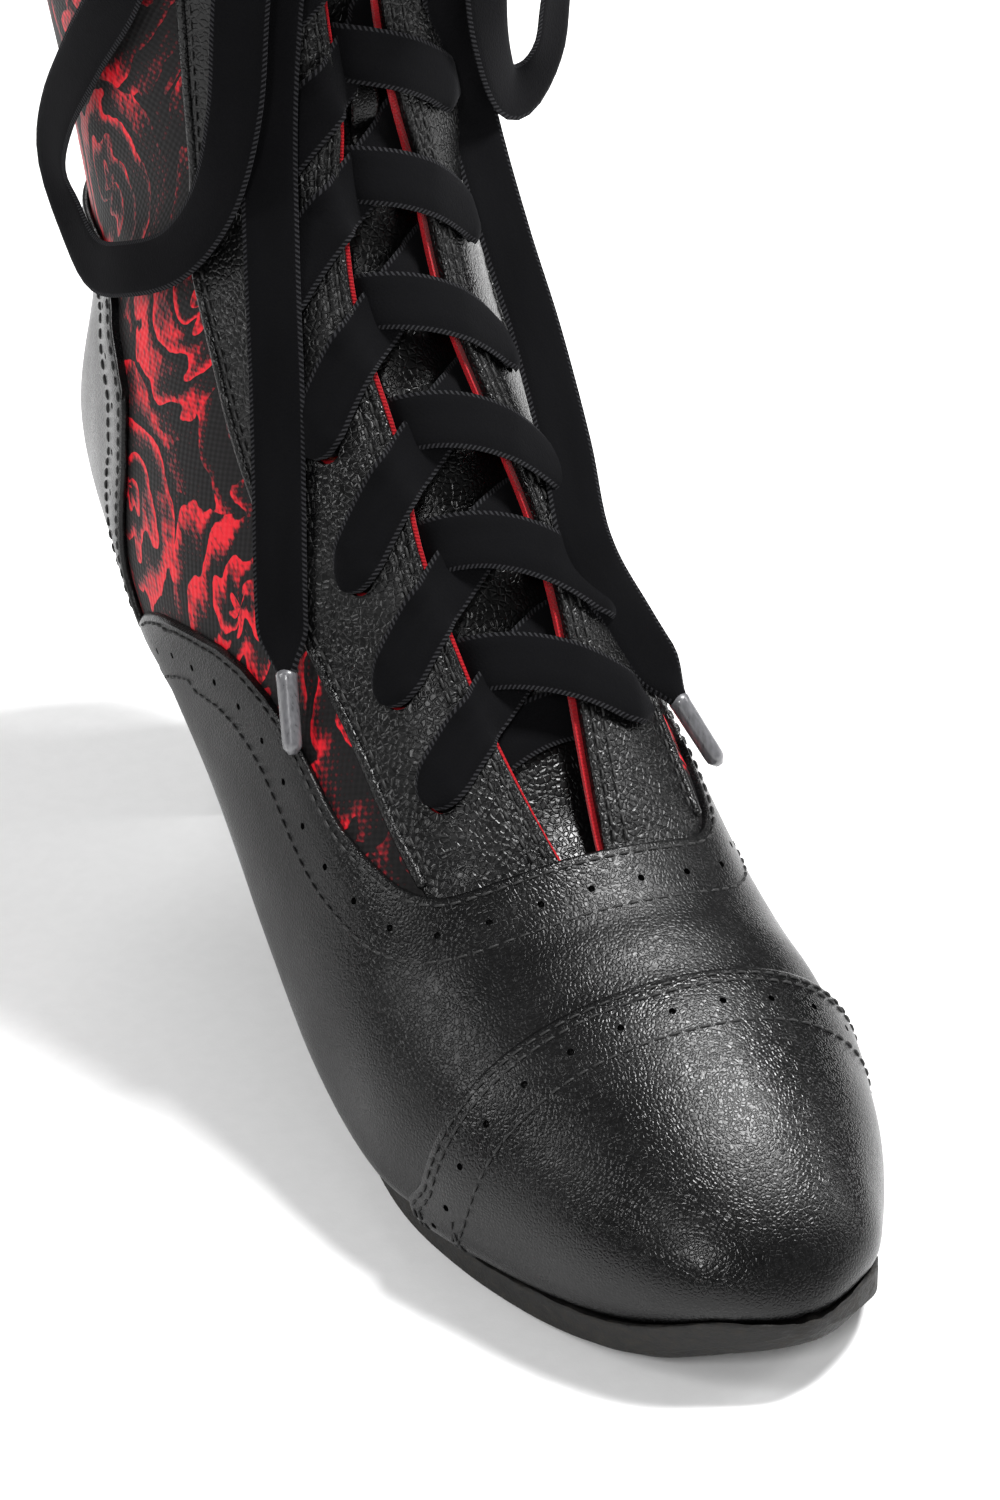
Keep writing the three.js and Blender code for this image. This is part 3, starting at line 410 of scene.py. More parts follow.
def spaced(u, angle, pitch, offset):
    """Places a pitch apart along a line on the surface: points, directions and normals."""
    u, angle = np.asarray(u, float), np.asarray(angle, float)
    p = skin(u, angle, offset)
    length = runs(p)
    count = max(int(length[-1] / pitch), 1)
    at = (np.arange(count) + 0.5) * length[-1] / count
    uu, aa = np.interp(at, length, u), np.interp(at, length, angle)
    near = 0.4 * MM
    along = np.stack([np.interp(at + near, length, p[:, k]) - np.interp(at - near, length, p[:, k])
                      for k in range(3)], -1)
    return skin(uu, aa, offset), unit(along), outward(uu, aa)


def stitch_row(u, angle, offset, pitch=2.7 * MM, length=2.1 * MM, radius=0.27 * MM):
    """One row of stitches as (points, faces): each dips into the leather at both ends."""
    centre, along, normal = spaced(u, angle, pitch, offset)
    across = unit(np.cross(normal, along))
    sides = 6
    places = np.array([-0.5, -0.42, -0.2, 0.2, 0.42, 0.5]) * length
    widths = np.array([0.25, 0.8, 1, 1, 0.8, 0.25]) * radius
    lifts = np.array([-0.9, -0.1, 0.45, 0.45, -0.1, -0.9]) * radius
    ring = []
    for s, w, h in zip(places, widths, lifts):
        for t in np.arange(sides) * math.pi / 3:
            ring.append(centre + along * s + across * (w * math.cos(t)) + normal * (h + w * math.sin(t)))
    faces = ring_faces(len(places), sides) + ring_ends(len(places), sides)
    every = [[v + n * len(ring) for v in f] for n in range(len(centre)) for f in faces]
    return np.stack(ring, 1).reshape(-1, 3), every


def stitching(name, rows):
    """A piece of thread from (station, angle, offset) lines."""
    points, faces, start = [], [], 0
    for row in rows:
        p, f = stitch_row(*row)
        points.append(p)
        faces += [[v + start for v in face] for face in f]
        start += len(p)
    finish(mesh_object(name, np.vstack(points), faces, sharp=80), "thread")


def rods(centres, axes, radius, reach, sides):
    """Short closed rods, used to cut holes."""
    points, faces = [], []
    for c, a in zip(centres, axes):
        x = unit(np.cross(a, [0.3, 0.2, 0.93]))
        y = np.cross(a, x)
        faces += ring_faces(2, sides, len(points)) + ring_ends(2, sides, len(points))
        for end in reach:
            for t in (2 * math.pi * k / sides for k in range(sides)):
                points.append(c + a * end + (x * math.cos(t) + y * math.sin(t)) * radius)
    return mesh_object("tool", np.array(points), faces)


def cut(piece, centres, axes, radius, reach, sides=10):
    """Cuts round holes into a piece."""
    tool = rods(centres, axes, radius, reach, sides)
    change = piece.modifiers.new("holes", "BOOLEAN")
    change.operation, change.solver, change.object = "DIFFERENCE", "MANIFOLD", tool
    graph = bpy.context.evaluated_depsgraph_get()
    result = bpy.data.meshes.new_from_object(piece.evaluated_get(graph))
    piece.modifiers.remove(change)
    old, name = piece.data, piece.data.name
    piece.data = result
    bpy.data.meshes.remove(old)
    result.name = name
    result.shade_smooth()
    result.set_sharp_from_angle(angle=math.radians(50))
    bpy.data.objects.remove(tool)


def tube(name, line, radius, sides=8, up=(0.2, 0.3, 0.93)):
    """A round tube along points, with rounded ends."""
    line = np.asarray(line, float)
    t = unit(np.gradient(line, axis=0))
    n = np.broadcast_to(up, line.shape)
    n = unit(n - t * (n * t).sum(-1, keepdims=True))
    b = np.cross(t, n)
    r = np.broadcast_to(radius, len(line)).astype(float)
    angles = np.arange(sides) * 2 * math.pi / sides
    rings = np.stack([line + (n * math.cos(a) + b * math.sin(a)) * r[:, None] for a in angles], 1)
    nose, tail = line[0] - t[0] * r[0] * 0.6, line[-1] + t[-1] * r[-1] * 0.6
    rings = np.concatenate([nose + (rings[[0]] - line[0]) * 0.55, rings, tail + (rings[[-1]] - line[-1]) * 0.55])
    return stacked(name, rings, 70)


def ribbon(name, line, across, width, thickness, crown):
    """A flat woven ribbon along points: across gives its width direction at each."""
    line = np.asarray(line, float)
    t = unit(np.gradient(line, axis=0))
    across = unit(across - t * (across * t).sum(-1, keepdims=True))
    normal = np.cross(across, t)
    width, crown = (np.broadcast_to(v, len(line))[:, None] for v in (width, crown))
    v = np.linspace(-1, 1, 9)[None]
    v = np.sign(v) * np.abs(v) ** 0.8
    half = thickness / 2 * np.sqrt(np.clip(1.02 - v**8, 0.06, 1))
    bow = crown * (1 - v**2)
    place = line[:, None] + across[:, None] * (v * width / 2)[..., None]
    outer, inner = (place + normal[:, None] * (bow + h)[..., None] for h in (half, -half))
    flat = np.stack(spread(v * width / 2, runs(line)[:, None], width / 2), -1)
    return shell(name, outer, inner, flat, 60)


def dense(points, count):
    """Points on a smooth curve through a few, evenly spaced."""
    curve = smooth(points, 16)
    length = runs(curve.T)
    at = np.linspace(0, length[-1], count)
    return np.stack([np.interp(at, length, column) for column in curve], -1)


def length_of(line):
    return float(runs(line)[-1])


# --- materials
BAND = 0.314                   # a wave texture's scale times the pitch of its bands


def shade(colour, share=1.0):
    """A colour made darker, with full alpha."""
    return tuple(v * share for v in colour[:3]) + (1,)


class Paint:
    """One procedural material: nodes are made and joined with short calls."""

    def __init__(self, name, **settings):
        self.material = bpy.data.materials.new(name)
        self.material.use_nodes = True
        self.tree = self.material.node_tree
        self.shader = self.tree.nodes["Principled BSDF"]
        for key, value in settings.items():
            self.shader.inputs[key].default_value = value

    def node(self, kind, inputs=(), out=0, **props):
        made = self.tree.nodes.new(kind)
        for key, value in props.items():
            setattr(made, key, value)
        for key, value in dict(inputs).items():
            self.feed(made.inputs[key], value)
        return made.outputs[out]

    def feed(self, socket, value):
        if isinstance(value, bpy.types.NodeSocket):
            self.tree.links.new(value, socket)
        else:
            socket.default_value = value

    def set(self, key, value):
        self.feed(self.shader.inputs[key], value)

    def math(self, operation, a, b=0.0):
        return self.node("ShaderNodeMath", {0: a, 1: b}, operation=operation)

    def add(self, total, *values):
        for value in values:
            total = self.math("ADD", total, value)
        return total

    def times(self, a, b):
        return self.math("MULTIPLY", a, b)

    def vector(self, operation, a, b):
        return self.node("ShaderNodeVectorMath", {0: a, 1: b}, operation=operation)

    def split(self, vector):
        made = self.tree.nodes.new("ShaderNodeSeparateXYZ")
        self.feed(made.inputs[0], vector)
        return made.outputs[:3]

    def mix(self, share, a, b):
        return self.node("ShaderNodeMix", {0: share, 6: a, 7: b}, out=2, data_type="RGBA")

    def ramp(self, value, low, high, start=0.0, end=1.0):
        return self.node("ShaderNodeMapRange", {0: value, 1: low, 2: high, 3: start, 4: end},
                         interpolation_type="SMOOTHSTEP")

    def here(self):
        return self.node("ShaderNodeTexCoord", out=3)

    def flat(self):
        return self.node("ShaderNodeAttribute", out=1, attribute_name="flat")

    def stretched(self, vector, scale, turn=0.0):
        return self.node("ShaderNodeMapping", {0: vector, 2: (0, 0, turn), 3: scale})

    def noise(self, vector, scale, detail=2.0, rough=0.5, out=0):
        return self.node("ShaderNodeTexNoise", {"Vector": vector, "Scale": scale, "Detail": detail,
                                                "Roughness": rough}, out)

    def bump(self, height, distance, strength=1.0, normal=None):
        inputs = {"Height": height, "Distance": distance, "Strength": strength}
        return self.node("ShaderNodeBump", inputs if normal is None else {**inputs, "Normal": normal})


def leather(name, grain, depth, rough, colour, gloss, crack=0.3):
    """Black leather: pebbles of one size with fine cracks between, and slow changes of gloss. The cracks are sunk by
    the bump and also painted darker, as painted shade in the recesses.
    """
    p = Paint(name, **{"Specular IOR Level": gloss})
    here = p.here()
    push = p.vector("MULTIPLY", p.noise(here, 0.35 / grain, out=1), (grain * 0.8,) * 3)
    edge = p.node("ShaderNodeTexVoronoi", {"Vector": p.vector("ADD", here, push), "Scale": 1 / grain},
                  out="Distance", feature="DISTANCE_TO_EDGE")
    pebble_and_crack_shade = p.ramp(edge, 0.0, crack)
    pores = p.noise(here, 3.2 / grain)
    slow = p.noise(here, 45.0, 3.0)
    fine = p.bump(pores, depth * 0.35, 0.6)
    coarse = p.bump(p.noise(here, 0.25 / grain), depth * 1.5, 0.5, fine)
    p.set("Normal", p.bump(pebble_and_crack_shade, depth, 1.0, coarse))
    p.set("Roughness", p.add(p.ramp(slow, 0.3, 0.7, -0.05, 0.06), rough, p.times(pores, 0.05)))
    # painted shade: the colour falls to 45% in the cracks between pebbles, where the bump sinks them
    p.set("Base Color", p.mix(pebble_and_crack_shade, shade(colour, 0.45), p.mix(slow, shade(colour, 0.8), shade(colour))))
    return p.material


def brocade():
    """Black cloth with woven red roses: petals curl round scattered centres, shaded by thread."""
    p = Paint("rose_brocade", **{"Specular IOR Level": 0.15, "Sheen Weight": 0.02, "Sheen Roughness": 0.4})
    flat = p.flat()
    drift = p.vector("SUBTRACT", p.noise(flat, 42.0, out=1), (0.5, 0.5, 0.5))
    place = p.vector("ADD", flat, p.vector("MULTIPLY", drift, (0.016, 0.016, 0.0)))
    # One rose to each cell of a loose grid, 41 mm apart.
    rose = p.tree.nodes.new("ShaderNodeTexVoronoi")
    rose.voronoi_dimensions = "2D"
    for key, value in (("Vector", place), ("Scale", 1 / 0.041), ("Randomness", 0.7)):
        p.feed(rose.inputs[key], value)
    spoke = p.vector("SUBTRACT", place, rose.outputs["Position"])
    x, y, _ = p.split(spoke)
    radius = p.math("SQRT", p.add(p.times(x, x), p.times(y, y)))
    angle = p.math("ARCTAN2", y, x)
    tint = p.node("ShaderNodeSeparateColor", {0: rose.outputs["Color"]})
    curl = p.times(p.math("SINE", p.add(p.times(angle, 2.0), p.times(tint, 6.3))), 0.42)
    lobes = p.times(p.math("SINE", p.add(p.times(angle, 5.0), p.times(radius, 620.0))), 0.2)
    ripple = p.times(p.noise(flat, 130.0), 0.8)
    # Rings of petals 7.8 mm apart that wind outwards as one spiral.
    rings = p.add(p.math("DIVIDE", radius, 0.0078), p.math("DIVIDE", angle, 2 * math.pi), curl, lobes, ripple)
    petal = p.math("FRACT", rings)
    rim = p.times(p.math("POWER", petal, 2.0), p.ramp(petal, 0.93, 1.0, 1.0, 0.0))
    streak = p.noise(spoke, 700.0, 3.0, 0.6)
    brush = p.ramp(p.noise(p.stretched(flat, (1.0, 0.35, 1.0), 0.6), 900.0), 0.35, 0.65, 0.45, 1.0)
    patch = p.ramp(p.noise(flat, 48.0), 0.4, 0.62)
    fall = p.ramp(radius, 0.018, 0.034, 1.0, 0.45)
    amount = p.times(p.times(rim, brush), p.times(fall, p.add(p.times(patch, 1.15), 0.45)))
    amount = p.add(amount, p.times(p.math("SUBTRACT", streak, 0.5), 0.25))
    bands = dict(out=1, wave_type="BANDS", bands_direction="DIAGONAL")
    warp = p.node("ShaderNodeTexWave", {"Vector": flat, "Scale": BAND / 0.00075, "Distortion": 0.6,
                                        "Detail": 1.0, "Detail Scale": 3.0}, **bands)
    weft = p.node("ShaderNodeTexWave", {"Vector": p.stretched(flat, (1, 1, 1), 1.57), "Scale": BAND / 0.0011,
                                        "Distortion": 0.4}, **bands)
    weave = p.times(p.add(warp, weft), 0.5)
    worn = p.math("SUBTRACT", amount, p.times(weave, 0.22))
    shown = p.ramp(worn, 0.02, 0.2)
    bright = p.mix(p.ramp(worn, 0.1, 0.62), (0.075, 0.003, 0.006, 1), (0.62, 0.008, 0.018, 1))
    ground = p.mix(weave, (0.002, 0.0018, 0.002, 1), (0.007, 0.006, 0.0065, 1))
    p.set("Base Color", p.mix(shown, ground, bright))
    p.set("Roughness", p.ramp(shown, 0.0, 1.0, 0.62, 0.48))
    p.set("Normal", p.bump(p.add(p.times(shown, 0.7), p.times(weave, 0.6)), 0.00016, 0.8))
    return p.material


def velvet():
    """Black velvet pile with a lighter woven edge on both sides."""
    p = Paint("black_velvet", **{"Specular IOR Level": 0.05, "Sheen Weight": 0.03, "Sheen Roughness": 0.45,
                                 "Sheen Tint": (0.75, 0.75, 0.8, 1), "Roughness": 0.95})
    flat = p.flat()
    across, along, half = p.split(flat)
    room = p.math("SUBTRACT", half, p.math("ABSOLUTE", across))
    edge = p.ramp(room, 0.00055, 0.0008, 1.0, 0.0)
    twist = p.math("SINE", p.add(p.times(along, 2 * math.pi / 0.00085), p.times(room, 5000.0)))
    chain = p.ramp(twist, -0.4, 0.6)
    brushed = p.noise(p.stretched(flat, (1, 0.3, 1)), 160.0)
    body = p.mix(brushed, (0.0015, 0.0015, 0.0018, 1), (0.004, 0.004, 0.0046, 1))
    border = p.mix(chain, (0.003, 0.003, 0.0034, 1), (0.022, 0.022, 0.024, 1))
    p.set("Base Color", p.mix(edge, body, border))
    p.set("Normal", p.bump(p.add(p.times(chain, edge), p.times(p.noise(flat, 2600.0), 0.5)), 0.00018, 0.9))
    return p.material


def cloth(name, colour, pitch):
    """A plain woven cloth with threads a pitch apart."""
    p = Paint(name, **{"Specular IOR Level": 0.2, "Sheen Weight": 0.15, "Sheen Roughness": 0.5, "Roughness": 0.85})
    here = p.here()
    warp, weft = (p.node("ShaderNodeTexWave", {"Vector": here, "Scale": BAND / pitch, "Distortion": 0.5}, out=1,
                         bands_direction=way) for way in "ZY")
    woven = p.times(p.add(warp, weft), 0.5)
    fuzz = p.noise(here, 900.0, 3.0)
    p.set("Base Color", p.mix(p.times(p.add(woven, fuzz), 0.5), shade(colour, 0.6), shade(colour)))
    p.set("Normal", p.bump(p.add(woven, p.times(fuzz, 0.5)), 0.00012, 0.8))
    return p.material


def rubber():
    """Black sole rubber with a rough, dusty edge."""
    p = Paint("sole_rubber", **{"Specular IOR Level": 0.3})
    here = p.here()
    lumps = p.noise(p.stretched(here, (1, 1, 2.2)), 420.0, 4.0, 0.65)
    grit = p.noise(here, 1800.0, 3.0, 0.7)
    dust = p.ramp(p.times(lumps, p.add(grit, 0.5)), 0.42, 0.7)
    p.set("Base Color", p.mix(dust, (0.006, 0.0058, 0.0056, 1), (0.026, 0.024, 0.021, 1)))
    p.set("Roughness", p.ramp(dust, 0.0, 1.0, 0.6, 0.9))
    p.set("Normal", p.bump(p.add(lumps, p.times(grit, 0.4)), 0.0004, 0.8))
    return p.material


def plain(name, light, dark, scale, rough, metallic=0.0, depth=0.0001, stretch=(1, 1, 1)):
    """A hidden or simple material: two tones, slow noise and a fine bump."""
    p = Paint(name, **{"Metallic": metallic})
    tone = p.noise(p.stretched(p.here(), stretch), scale, 4.0, 0.6)
    p.set("Base Color", p.mix(p.ramp(tone, 0.3, 0.7), shade(dark), shade(light)))
    p.set("Roughness", p.ramp(tone, 0.2, 0.8, rough - 0.08, rough + 0.08))
    p.set("Normal", p.bump(tone, depth, 0.6))
    return p.material


def aglet_plastic():
    """Smoke-grey plastic tube with long streaks."""
    p = Paint("aglet_plastic", **{"Specular IOR Level": 0.6, "Coat Weight": 0.5, "Coat Roughness": 0.15})
    flow = p.noise(p.stretched(p.here(), (1, 1, 0.12)), 1500.0, 3.0)
    p.set("Base Color", p.mix(flow, (0.03, 0.03, 0.033, 1), (0.16, 0.16, 0.17, 1)))
    p.set("Roughness", p.ramp(flow, 0.2, 0.8, 0.25, 0.4))
    p.set("Normal", p.bump(flow, 0.00008, 0.5))
    return p.material


def thread():
    """Waxed black thread, twisted."""
    p = Paint("waxed_thread", **{"Roughness": 0.55, "Specular IOR Level": 0.35})
    twist = p.noise(p.here(), 2500.0)
    p.set("Base Color", p.mix(twist, (0.004, 0.004, 0.004, 1), (0.02, 0.02, 0.02, 1)))
    p.set("Normal", p.bump(twist, 0.0001, 0.7))
    return p.material


MATERIALS = {}
BLACK = (0.004, 0.004, 0.0042)


def make_materials():
    MATERIALS.update({
        "smooth_leather": leather("smooth_leather", 0.00075, 0.00004, 0.29, BLACK, 0.2),
        "cap_leather": leather("cap_leather", 0.0007, 0.00004, 0.25, BLACK, 0.26),
        "grained_leather": leather("grained_leather", 0.00105, 0.00008, 0.29, (0.0035, 0.0035, 0.0037), 0.26, 0.25),
        "rose_brocade": brocade(),
        "red_lining": cloth("red_lining", (0.5, 0.008, 0.016), 0.0005),
        "sock_cloth": cloth("sock_cloth", (0.02, 0.017, 0.017), 0.0007),
        "sole_rubber": rubber(),
        "velvet_ribbon": velvet(),
        "aglet_plastic": aglet_plastic(),
        "thread": thread(),
        "stiff_board": plain("stiff_board", (0.5, 0.38, 0.24), (0.36, 0.26, 0.16), 900.0, 0.85),
        "cork": plain("cork", (0.5, 0.34, 0.2), (0.22, 0.13, 0.07), 500.0, 0.9, depth=0.0003),
        "steel": plain("steel", (0.6, 0.6, 0.62), (0.4, 0.4, 0.42), 600.0, 0.35, 1.0, stretch=(1, 0.1, 1)),
    })


SLOTS = {"cap_leather": "smooth_leather", "thread": "smooth_leather", "sole_rubber": "sole_rubber"}


def finish(piece, material, slot=None, replaces=()):
    piece.data.materials.clear()
    piece.data.materials.append(MATERIALS[material])
    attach(piece, "root")
    slot or SLOTS.get(material, material)
    if replaces:
        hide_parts(*replaces)
    return piece


# --- free ribbons
RIBBON_WIDTH = 9.5 * MM
OUTER_TAIL = np.array([
    (-7.2, 70, 233.1), (-12, 73, 223), (-15.5, 80, 203), (-17, 84, 182), (-19.5, 82, 163), (-22, 76.5, 143),
    (-25, 68.5, 123), (-28, 61.5, 105), (-31, 54.5, 88), (-32.5, 49, 78),
]) * MM
INNER_TAIL = np.array([
    (2, 70, 233.1), (7.5, 74, 223), (12, 81, 203), (15, 88, 178), (20, 91.5, 154), (21.5, 81, 135),
    (22.5, 70.5, 121), (21.5, 56, 106.5), (19, 42, 95.5), (25, 38, 81), (31.5, 31, 67),
]) * MM
OUTER_LOOP = np.array([
    (-10.6, 67.6, 242), (-23, 71, 241), (-34, 79, 229), (-40, 87, 209), (-38, 98, 186), (-40, 115, 166),
    (-41, 129, 150), (-41, 135, 138), (-39.5, 132, 129), (-39.5, 120, 125), (-38, 107, 129), (-33.5, 93, 137),
    (-29, 84, 150), (-26, 80, 167), (-24, 80, 186), (-22, 77, 206), (-18, 70, 226), (-11, 63, 238),
]) * MM
INNER_LOOP = np.array([
    (5, 67, 243), (17, 70, 242), (30, 78, 230), (38, 87, 210), (41, 94, 188), (39, 98, 170),
    (37, 97, 160), (32, 95, 154.5), (26.5, 91.5, 156.5), (22.5, 88, 168), (20.5, 85, 184), (18, 77, 206),
    (14, 69, 226), (6, 63, 237),
]) * MM
AGLET_LENGTH = 11.5 * MM
FRONT_LEFT = unit(np.array([-0.32, -0.78, 0.53]))      # the way that the ribbons' flat sides face
NEAR_U = np.arange(5, 16.6, 0.25)
NEAR_A = np.arange(-16, 17) * math.pi / 16
NEAR = [g.ravel() for g in np.meshgrid(NEAR_U, NEAR_A)]
NEAR_POINTS = on_last(*NEAR)
NEAR_NORMALS = outward(*NEAR)


def outward_near(points):
    """The boot's outward direction nearest to each point, smoothed along the line."""
    nearest = [np.linalg.norm(NEAR_POINTS - p, axis=1).argmin() for p in points]
    normals = NEAR_NORMALS[nearest]
    for _ in range(30):
        normals[1:-1] = unit(normals[:-2] + 2 * normals[1:-1] + normals[2:])
    return normals


def free_ribbon(name, route, node, tapered, facing_front):
    """A loose ribbon along a route, turned between the boot's surface and the front; also its line."""
    line = dense(route, 110)
    normal = unit(outward_near(line) * (1 - facing_front) + FRONT_LEFT * facing_front)
    across = np.cross(unit(np.gradient(line, axis=0)), normal)
    t = np.linspace(0, 1, len(line))
    gathered = 0.62
    width = RIBBON_WIDTH * (gathered + (1 - gathered) * ease(0, 0.05, t))
    crown = 0.25 * MM * np.sin(t * 23)
    if tapered:
        left = (1 - t) * length_of(line)
        width *= 0.32 + 0.68 * ease(0, 9 * MM, left) ** 0.8
        crown = crown + 1.1 * MM * (1 - ease(0, 10 * MM, left))
    else:
        width *= gathered + (1 - gathered) * ease(0, 0.05, 1 - t)
    return finish(ribbon(name, line, across, width, 0.9 * MM, crown), "velvet_ribbon", replaces=[node]), line


def aglet(name, route, node):
    """A plastic tube with a thicker rim at the ribbon and rounded ends."""
    along = unit(route[-1] - route[-2])
    start = route[-1] - along * 1.2 * MM
    steps = np.array([0, 0.03, 0.1, 0.5, 0.9, 0.97, 1.0])[:, None]
    radius = np.array([1.65, 1.85, 1.8, 1.72, 1.68, 1.6, 1.3]) * MM
    made = tube(name, start + along * (steps * (AGLET_LENGTH + 1.5 * MM)), radius, sides=20)
    return finish(made, "aglet_plastic", replaces=[node])


def bow_and_tails():
    knot = bow_knot()
    pieces = {}
    for name, route, node, tapered, facing_front in (
            ("bow_loop_outer", OUTER_LOOP, "bow_loop_lateral", False, 0.25),
            ("bow_loop_inner", INNER_LOOP, "bow_loop_medial", False, 0.35),
            ("lace_end_outer", OUTER_TAIL, "lace_tail_lateral", True, 0.5),
            ("lace_end_inner", INNER_TAIL, "lace_tail_medial", True, 0.68)):
        pieces[name] = free_ribbon(name, route, node, tapered, facing_front)
    tips = {"lace_end_outer": aglet("aglet_outer", OUTER_TAIL, "aglet_lateral"),
            "lace_end_inner": aglet("aglet_inner", INNER_TAIL, "aglet_medial")}
    for name, (piece, line) in pieces.items():
        tuple(line[0])
        length_of(line)


def bow_knot():
    """The tied middle of the bow: one ribbon wrapped over the crossing of the others."""
    low, high = (np.array(v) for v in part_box("bow_knot"))
    middle, size = (low + high) / 2, (high - low) / 2
    rings, sides = 30, 36
    h = np.linspace(0, 2 * math.pi, sides, endpoint=False)[None]
    x = np.cos(np.linspace(0, math.pi, rings))[:, None] + 0 * h
    ring = np.sin(np.linspace(0, math.pi, rings))[:, None] ** 0.55
    folds = 1 + 0.06 * np.sin(5 * x + 1.2 * np.sin(2 * h)) + 0.05 * np.cos(3 * h + 4 * x)
    y = ring * np.cos(h) * folds
    z = ring * np.sin(h) * folds * (1 - 0.12 * np.cos(2 * math.pi * x))
    points = middle + np.stack([x * size[0] * 0.97, y * size[1] * 0.95, z * size[2] * 0.95], -1)
    flat = np.stack(spread(x * 0.0047, h * 0.006, 0.0052), -1)
    made = mesh_object("bow_knot_wrap", points.reshape(-1, 3), ring_faces(rings, sides), flat.reshape(-1, 3), 60)
    return finish(made, "velvet_ribbon", replaces=["bow_knot"])


# --- forepart
LAP = 0.8 * MM              # how far a lapped edge stands over what it covers
UPPER_LOW = -1.35 * MM
PERFORATION = dict(radius=0.62 * MM, reach=(-0.95 * MM, 1.0 * MM))


def perforate(piece, lines):
    """Brogue perforations along (station, angle, offset) lines."""
    places = [spaced(u, angle, 8.7 * MM, offset) for u, angle, offset in lines]
    cut(piece, np.vstack([p[0] for p in places]), np.vstack([p[2] for p in places]), **PERFORATION)


def toe_cap():
    angles = np.linspace(-MARGIN, MARGIN, 97)
    rows = np.concatenate([np.linspace(0, 0.93, 44), [0.95, 0.97, 0.982, 0.99, 0.995, 1.0]])[:, None]
    seam = cap_seam(angles)
    room = (1 - rows) * CAP_LENGTH
    high = 0.15 * MM + (LAP - 0.15 * MM) * (1 - ease(2 * MM, 13 * MM, room)) - rounded(room)
    made = panel("toe_cap_shell", rows * seam, angles, high, UPPER_LOW * 0.3)
    u, angle = moved(seam, angles, -6.8)
    perforate(made, [(u[8:-8], angle[8:-8], 0.7 * MM)])
    finish(made, "cap_leather", replaces=["toe_cap"])
    stitching("toe_cap_stitches", [(*moved(seam, angles, side), height * MM)
                                   for side, height in ((-1.5, 0.78), (-3.0, 0.78), (-11.0, 0.35))])


def vamp():
    side = np.append(VAMP_EDGE_ANGLE[::4], np.linspace(VAMP_EDGE_ANGLE[-1], MARGIN, 8))
    side = np.unique(np.round(side, 6))
    angles = np.concatenate([-side[:0:-1], side])
    seam, top = cap_seam(angles) - 0.12, vamp_top(angles)
    rows = np.concatenate([[0], np.linspace(0.02, 0.9, 40), [0.93, 0.955, 0.972, 0.984, 0.991, 0.996, 1]])[:, None]
    u = seam + rows * (top - seam)
    p = on_last(u, angles)
    run = np.stack([runs(p[:, k]) for k in range(len(angles))], 1)
    room = room_to(on_last(top, angles), p)
    under_cap = -0.55 * MM * (1 - ease(4 * MM, 14 * MM, run))
    raised = LAP * (1 - ease(2.5 * MM, 14 * MM, room))
    high = under_cap + raised - np.where(rows > 0.5, rounded(room), 0)
    made = panel("vamp_shell", u, angles, high, UPPER_LOW)
    keep = np.abs(angles) < VAMP_EDGE_ANGLE[-1]
    edge = resampled(top[keep], angles[keep], 400)
    perforate(made, [(*smoothed(*moved(*edge, -6.8)), LAP * 0.7)])
    finish(made, "smooth_leather", replaces=["vamp"])
    stitching("vamp_stitches", [(*smoothed(*moved(*edge, side_mm)), height)
                                for side_mm, height in ((-1.6, LAP), (-11.4, 0.06 * MM))])


def resampled(u, angle, count):
    length = runs(on_last(u, angle))
    at = np.linspace(0, length[-1], count)
    return np.interp(at, length, u), np.interp(at, length, angle)


def smoothed(u, angle, rounds=6):
    line = np.array([u, angle])
    for _ in range(rounds):
        line[:, 1:-1] = (line[:, :-2] + 2 * line[:, 1:-1] + line[:, 2:]) / 4
    return line


# --- heel and leg
COLLAR_STATION = 15.75
BACK_STRIP = 8 * MM
SEAT_STARTS, SEAT_CLOSES, SEAT_BACK = 9.62, 9.8, 9.93


def wall_angle(u, share, side):
    """An angle on the boot's wall: it stops at the lasted edge below, and closes behind the seat."""
    angle = np.abs(at_share(u, share, side))
    if share >= 0.9999:
        angle[:] = math.pi
    return side * np.minimum(angle, MARGIN + (math.pi - MARGIN) * ease(SEAT_STARTS, SEAT_BACK, u))


def counter_grid():
    half = np.concatenate([[0.445, 0.4465, 0.449, 0.453], np.linspace(0.46, 0.7, 22), np.linspace(0.72, 1.0, 16)])
    rows = np.concatenate([[0, 0.01, 0.03], np.linspace(0.06, 0.94, 34), [0.97, 0.985, 0.994, 1]])
    us, angles = [], []
    for share, side in [(s, 1) for s in half] + [(s, -1) for s in half[-2::-1]]:
        low = counter_low(share) + (SEAT_BACK - WING) * ease(0.78, 0.92, share)
        us.append(low + rows * (counter_top(share) - low))
        a = wall_angle(us[-1], share, side)
        angles.append(np.where(a < 0, a + 2 * math.pi, a))
    return np.array(us).T, np.array(angles).T


def counter_edge(side):
    """The counter's free edge on one side: from the sole up the front and back over the top."""
    front, top = np.linspace(0.7, 0.447, 60), np.linspace(0.447, 1.0, 90)
    u = np.concatenate([counter_low(front), counter_top(top)])
    return resampled(*smoothed(u, at_share(u, np.concatenate([front, top]), side), 10), 300)


